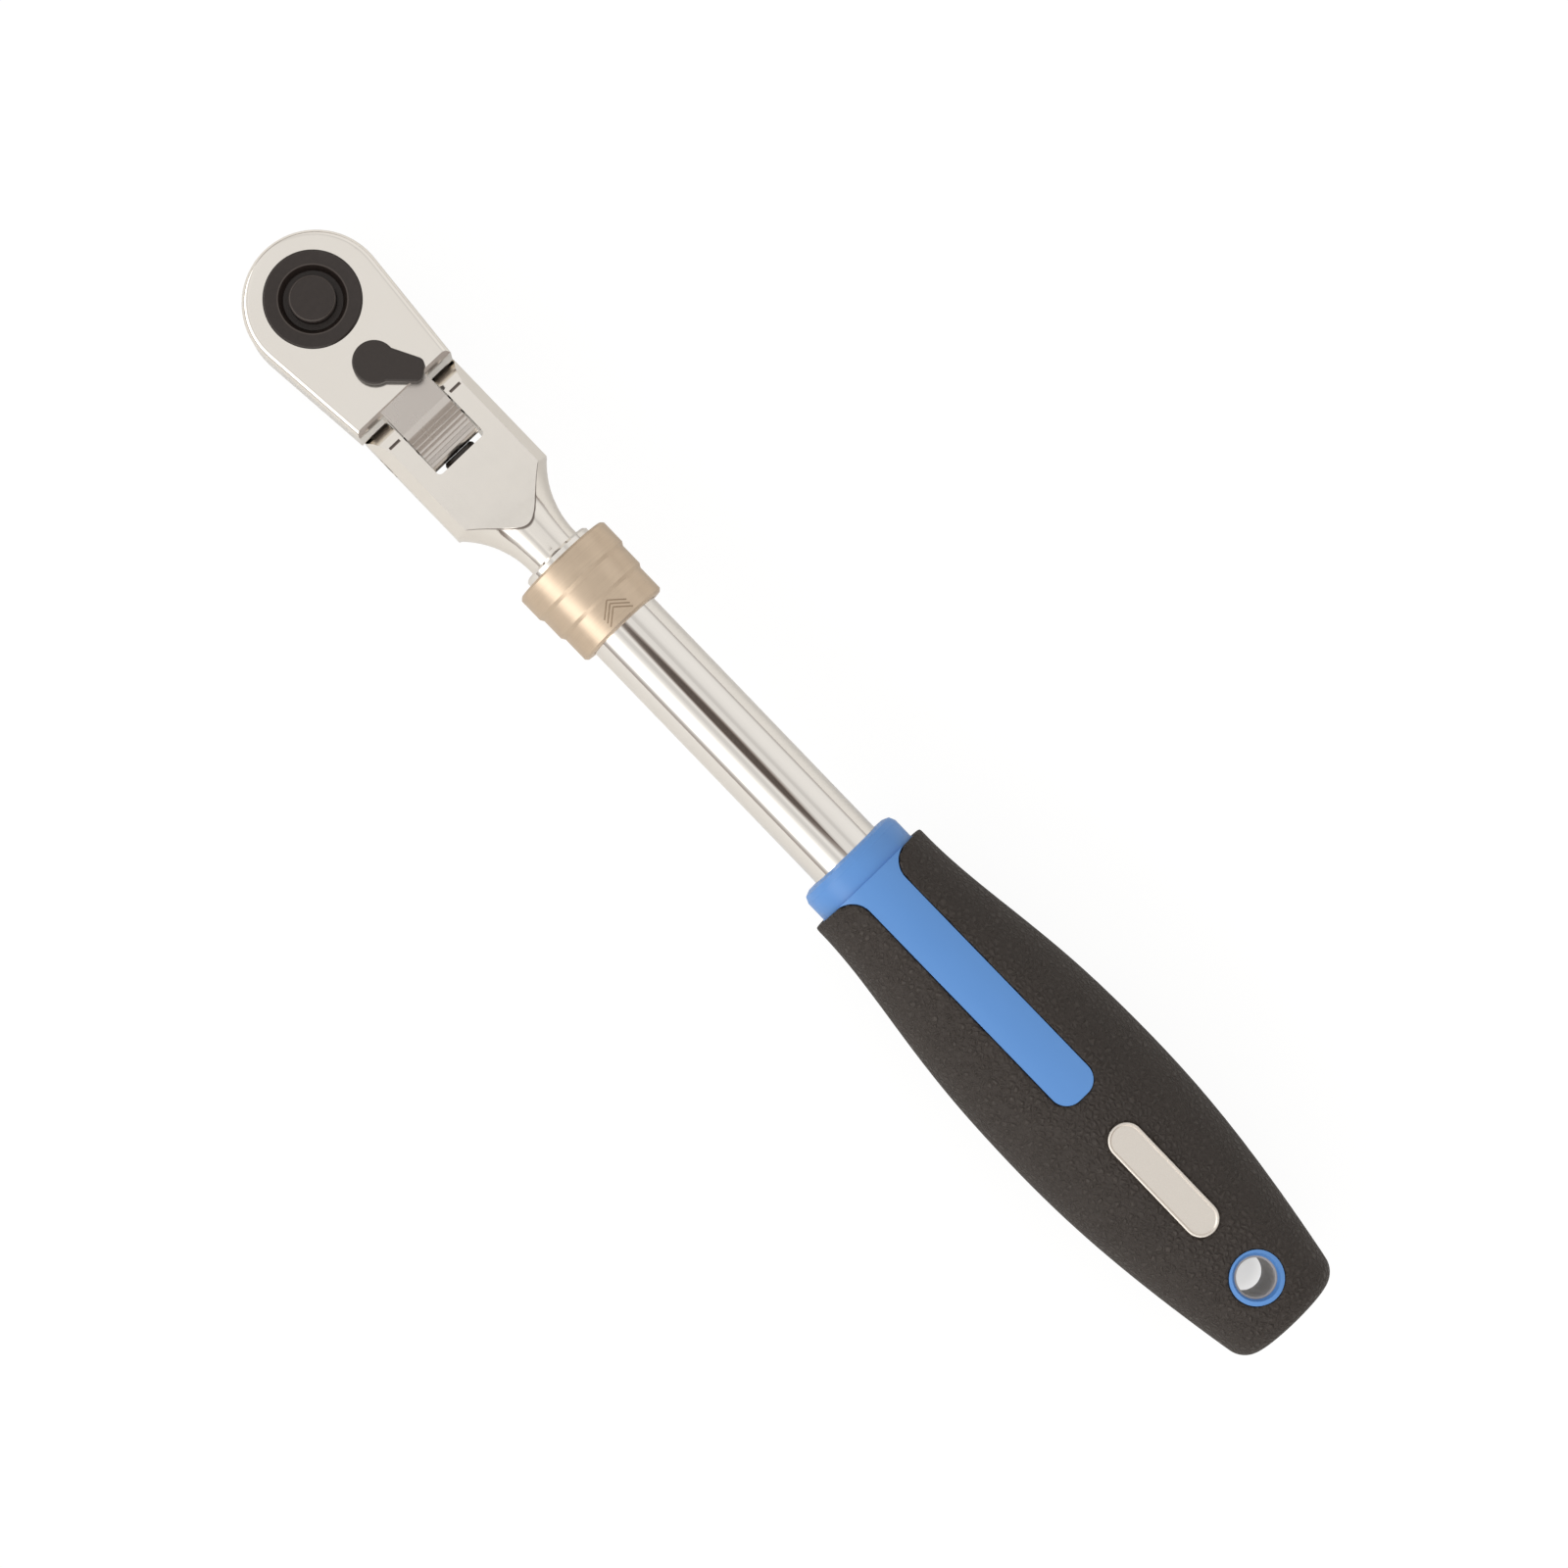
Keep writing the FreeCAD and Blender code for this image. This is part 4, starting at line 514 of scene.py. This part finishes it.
soft_black, place, shader = new_finish("soft_black", (0.030, 0.022, 0.017), 0.6, Specular_IOR_Level=0.42)
sway = place.node("ShaderNodeTexNoise", None, {"Vector": place, "Scale": 420.0}, out=1)
strayed = 0.0011
wander = place.node("ShaderNodeVectorMath", {"operation": "MULTIPLY_ADD"},
                    {0: sway, 1: (strayed,) * 3, 2: place})
cells = wander.node("ShaderNodeTexVoronoi", {"feature": "DISTANCE_TO_EDGE"},
                    {"Vector": wander, "Scale": 760.0})
small = wander.node("ShaderNodeTexVoronoi", {"feature": "SMOOTH_F1"}, {"Vector": wander, "Scale": 1500.0})
leather = cells.rise(0.0, 0.42) * 0.6 + (1 - small) * 0.4
dust = place.noise(70.0, 3.0)
feed(shader, Base_Color=(leather * 0.6 + dust * 0.4).shade((0.019, 0.0135, 0.0105), (0.044, 0.0335, 0.027)),
     Roughness=0.72 - leather * 0.26)
emboss(shader, leather, 1.0, 0.0006)

mould_cell, mould_rounds = 0.00058, 5
soft_grip = welded_copy("grip_overmould", "soft_grip", soft_black)
remesh = soft_grip.modifiers.new("even_cells", "REMESH")
remesh.mode, remesh.voxel_size = "VOXEL", mould_cell
even = soft_grip.modifiers.new("round_lips", "SMOOTH")
even.factor, even.iterations = 0.5, mould_rounds
settled = settle(soft_grip)
soft_grip.modifiers.clear()
soft_grip.data = settled
settled.name = "soft_grip"
settled.materials.clear()
settled.materials.append(soft_black)
settled.shade_smooth()
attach(soft_grip, "handle")
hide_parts("grip_overmould")
dress("grip_overmould", soft_black)

# The badge: a pressed aluminium plate set in the grip, with a raised rim round a blank, bead-blasted field.
# It slopes with the handle.

badge_silver, place, shader = new_finish("badge_silver", (0.78, 0.73, 0.67), 0.34, Metallic=1.0)
blast = place.noise(4200.0, 3.0, 0.7)
feed(shader, Roughness=blast * 0.18 + 0.26, Base_Color=blast.shade((0.70, 0.65, 0.59), (0.84, 0.79, 0.73)))
emboss(shader, blast, 0.18, 0.00005)
dress("badge", badge_silver)

badge_slope, arc_steps, badge_play = math.radians(3.3), 24, 0.0001
thick, rim_width, sunk = 0.00142, 0.00046, 0.00030
profile = ((0.0, -thick), (0.0, -0.00030), (0.00008, -0.00012), (0.00026, 0.0), (rim_width, 0.0),
           (rim_width + sunk, -sunk))
badge_low, badge_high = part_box("badge")
half_long = (badge_high.x - badge_low.x) / 2 / math.cos(badge_slope) - badge_play
half_wide = (badge_high.y - badge_low.y) / 2 - 0.00002
points, faces = [], []
for inset, level in profile:
    end_radius = half_wide - inset
    for side in (1, -1):
        for turn_step in range(arc_steps + 1):
            angle = math.pi * (turn_step / arc_steps - 0.5)
            points.append((side * (half_long - half_wide + end_radius * math.cos(angle)),
                           side * end_radius * math.sin(angle), level))
round_count = 2 * (arc_steps + 1)
for ring in range(0, (len(profile) - 1) * round_count, round_count):
    for near in range(round_count):
        far = (near + 1) % round_count
        faces.append((ring + near, ring + far, ring + round_count + far, ring + round_count + near))
faces += [tuple(reversed(range(round_count))), tuple(range(len(points) - round_count, len(points)))]
plate = bpy.data.objects.new("badge_plate", bpy.data.meshes.new("badge_plate"))
bpy.context.scene.collection.objects.link(plate)
plate.data.from_pydata(points, [], faces)
plate.data.materials.append(badge_silver)
middle = (badge_low + badge_high) / 2
middle.z = badge_high.z - half_long * math.sin(badge_slope) - 0.00003
plate.data.transform(Matrix.Translation(middle) @ Matrix.Rotation(badge_slope, 4, "Y"))
plate.data.shade_smooth()
plate.data.set_sharp_from_angle(angle=math.radians(38))
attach(plate, "handle")
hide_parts("badge")

# The liner of the hanging hole: a short grey tube, moulded in plastic and pressed through the end of the
# handle, so that a hook or a cord doesn't wear the grip.

eyelet_grey, place, shader = new_finish("eyelet_grey", (0.42, 0.39, 0.37), 0.4)
feed(shader, Roughness=place.noise(1500.0, 2.0) * 0.2 + 0.3)
dress("hang_eyelet", eyelet_grey)
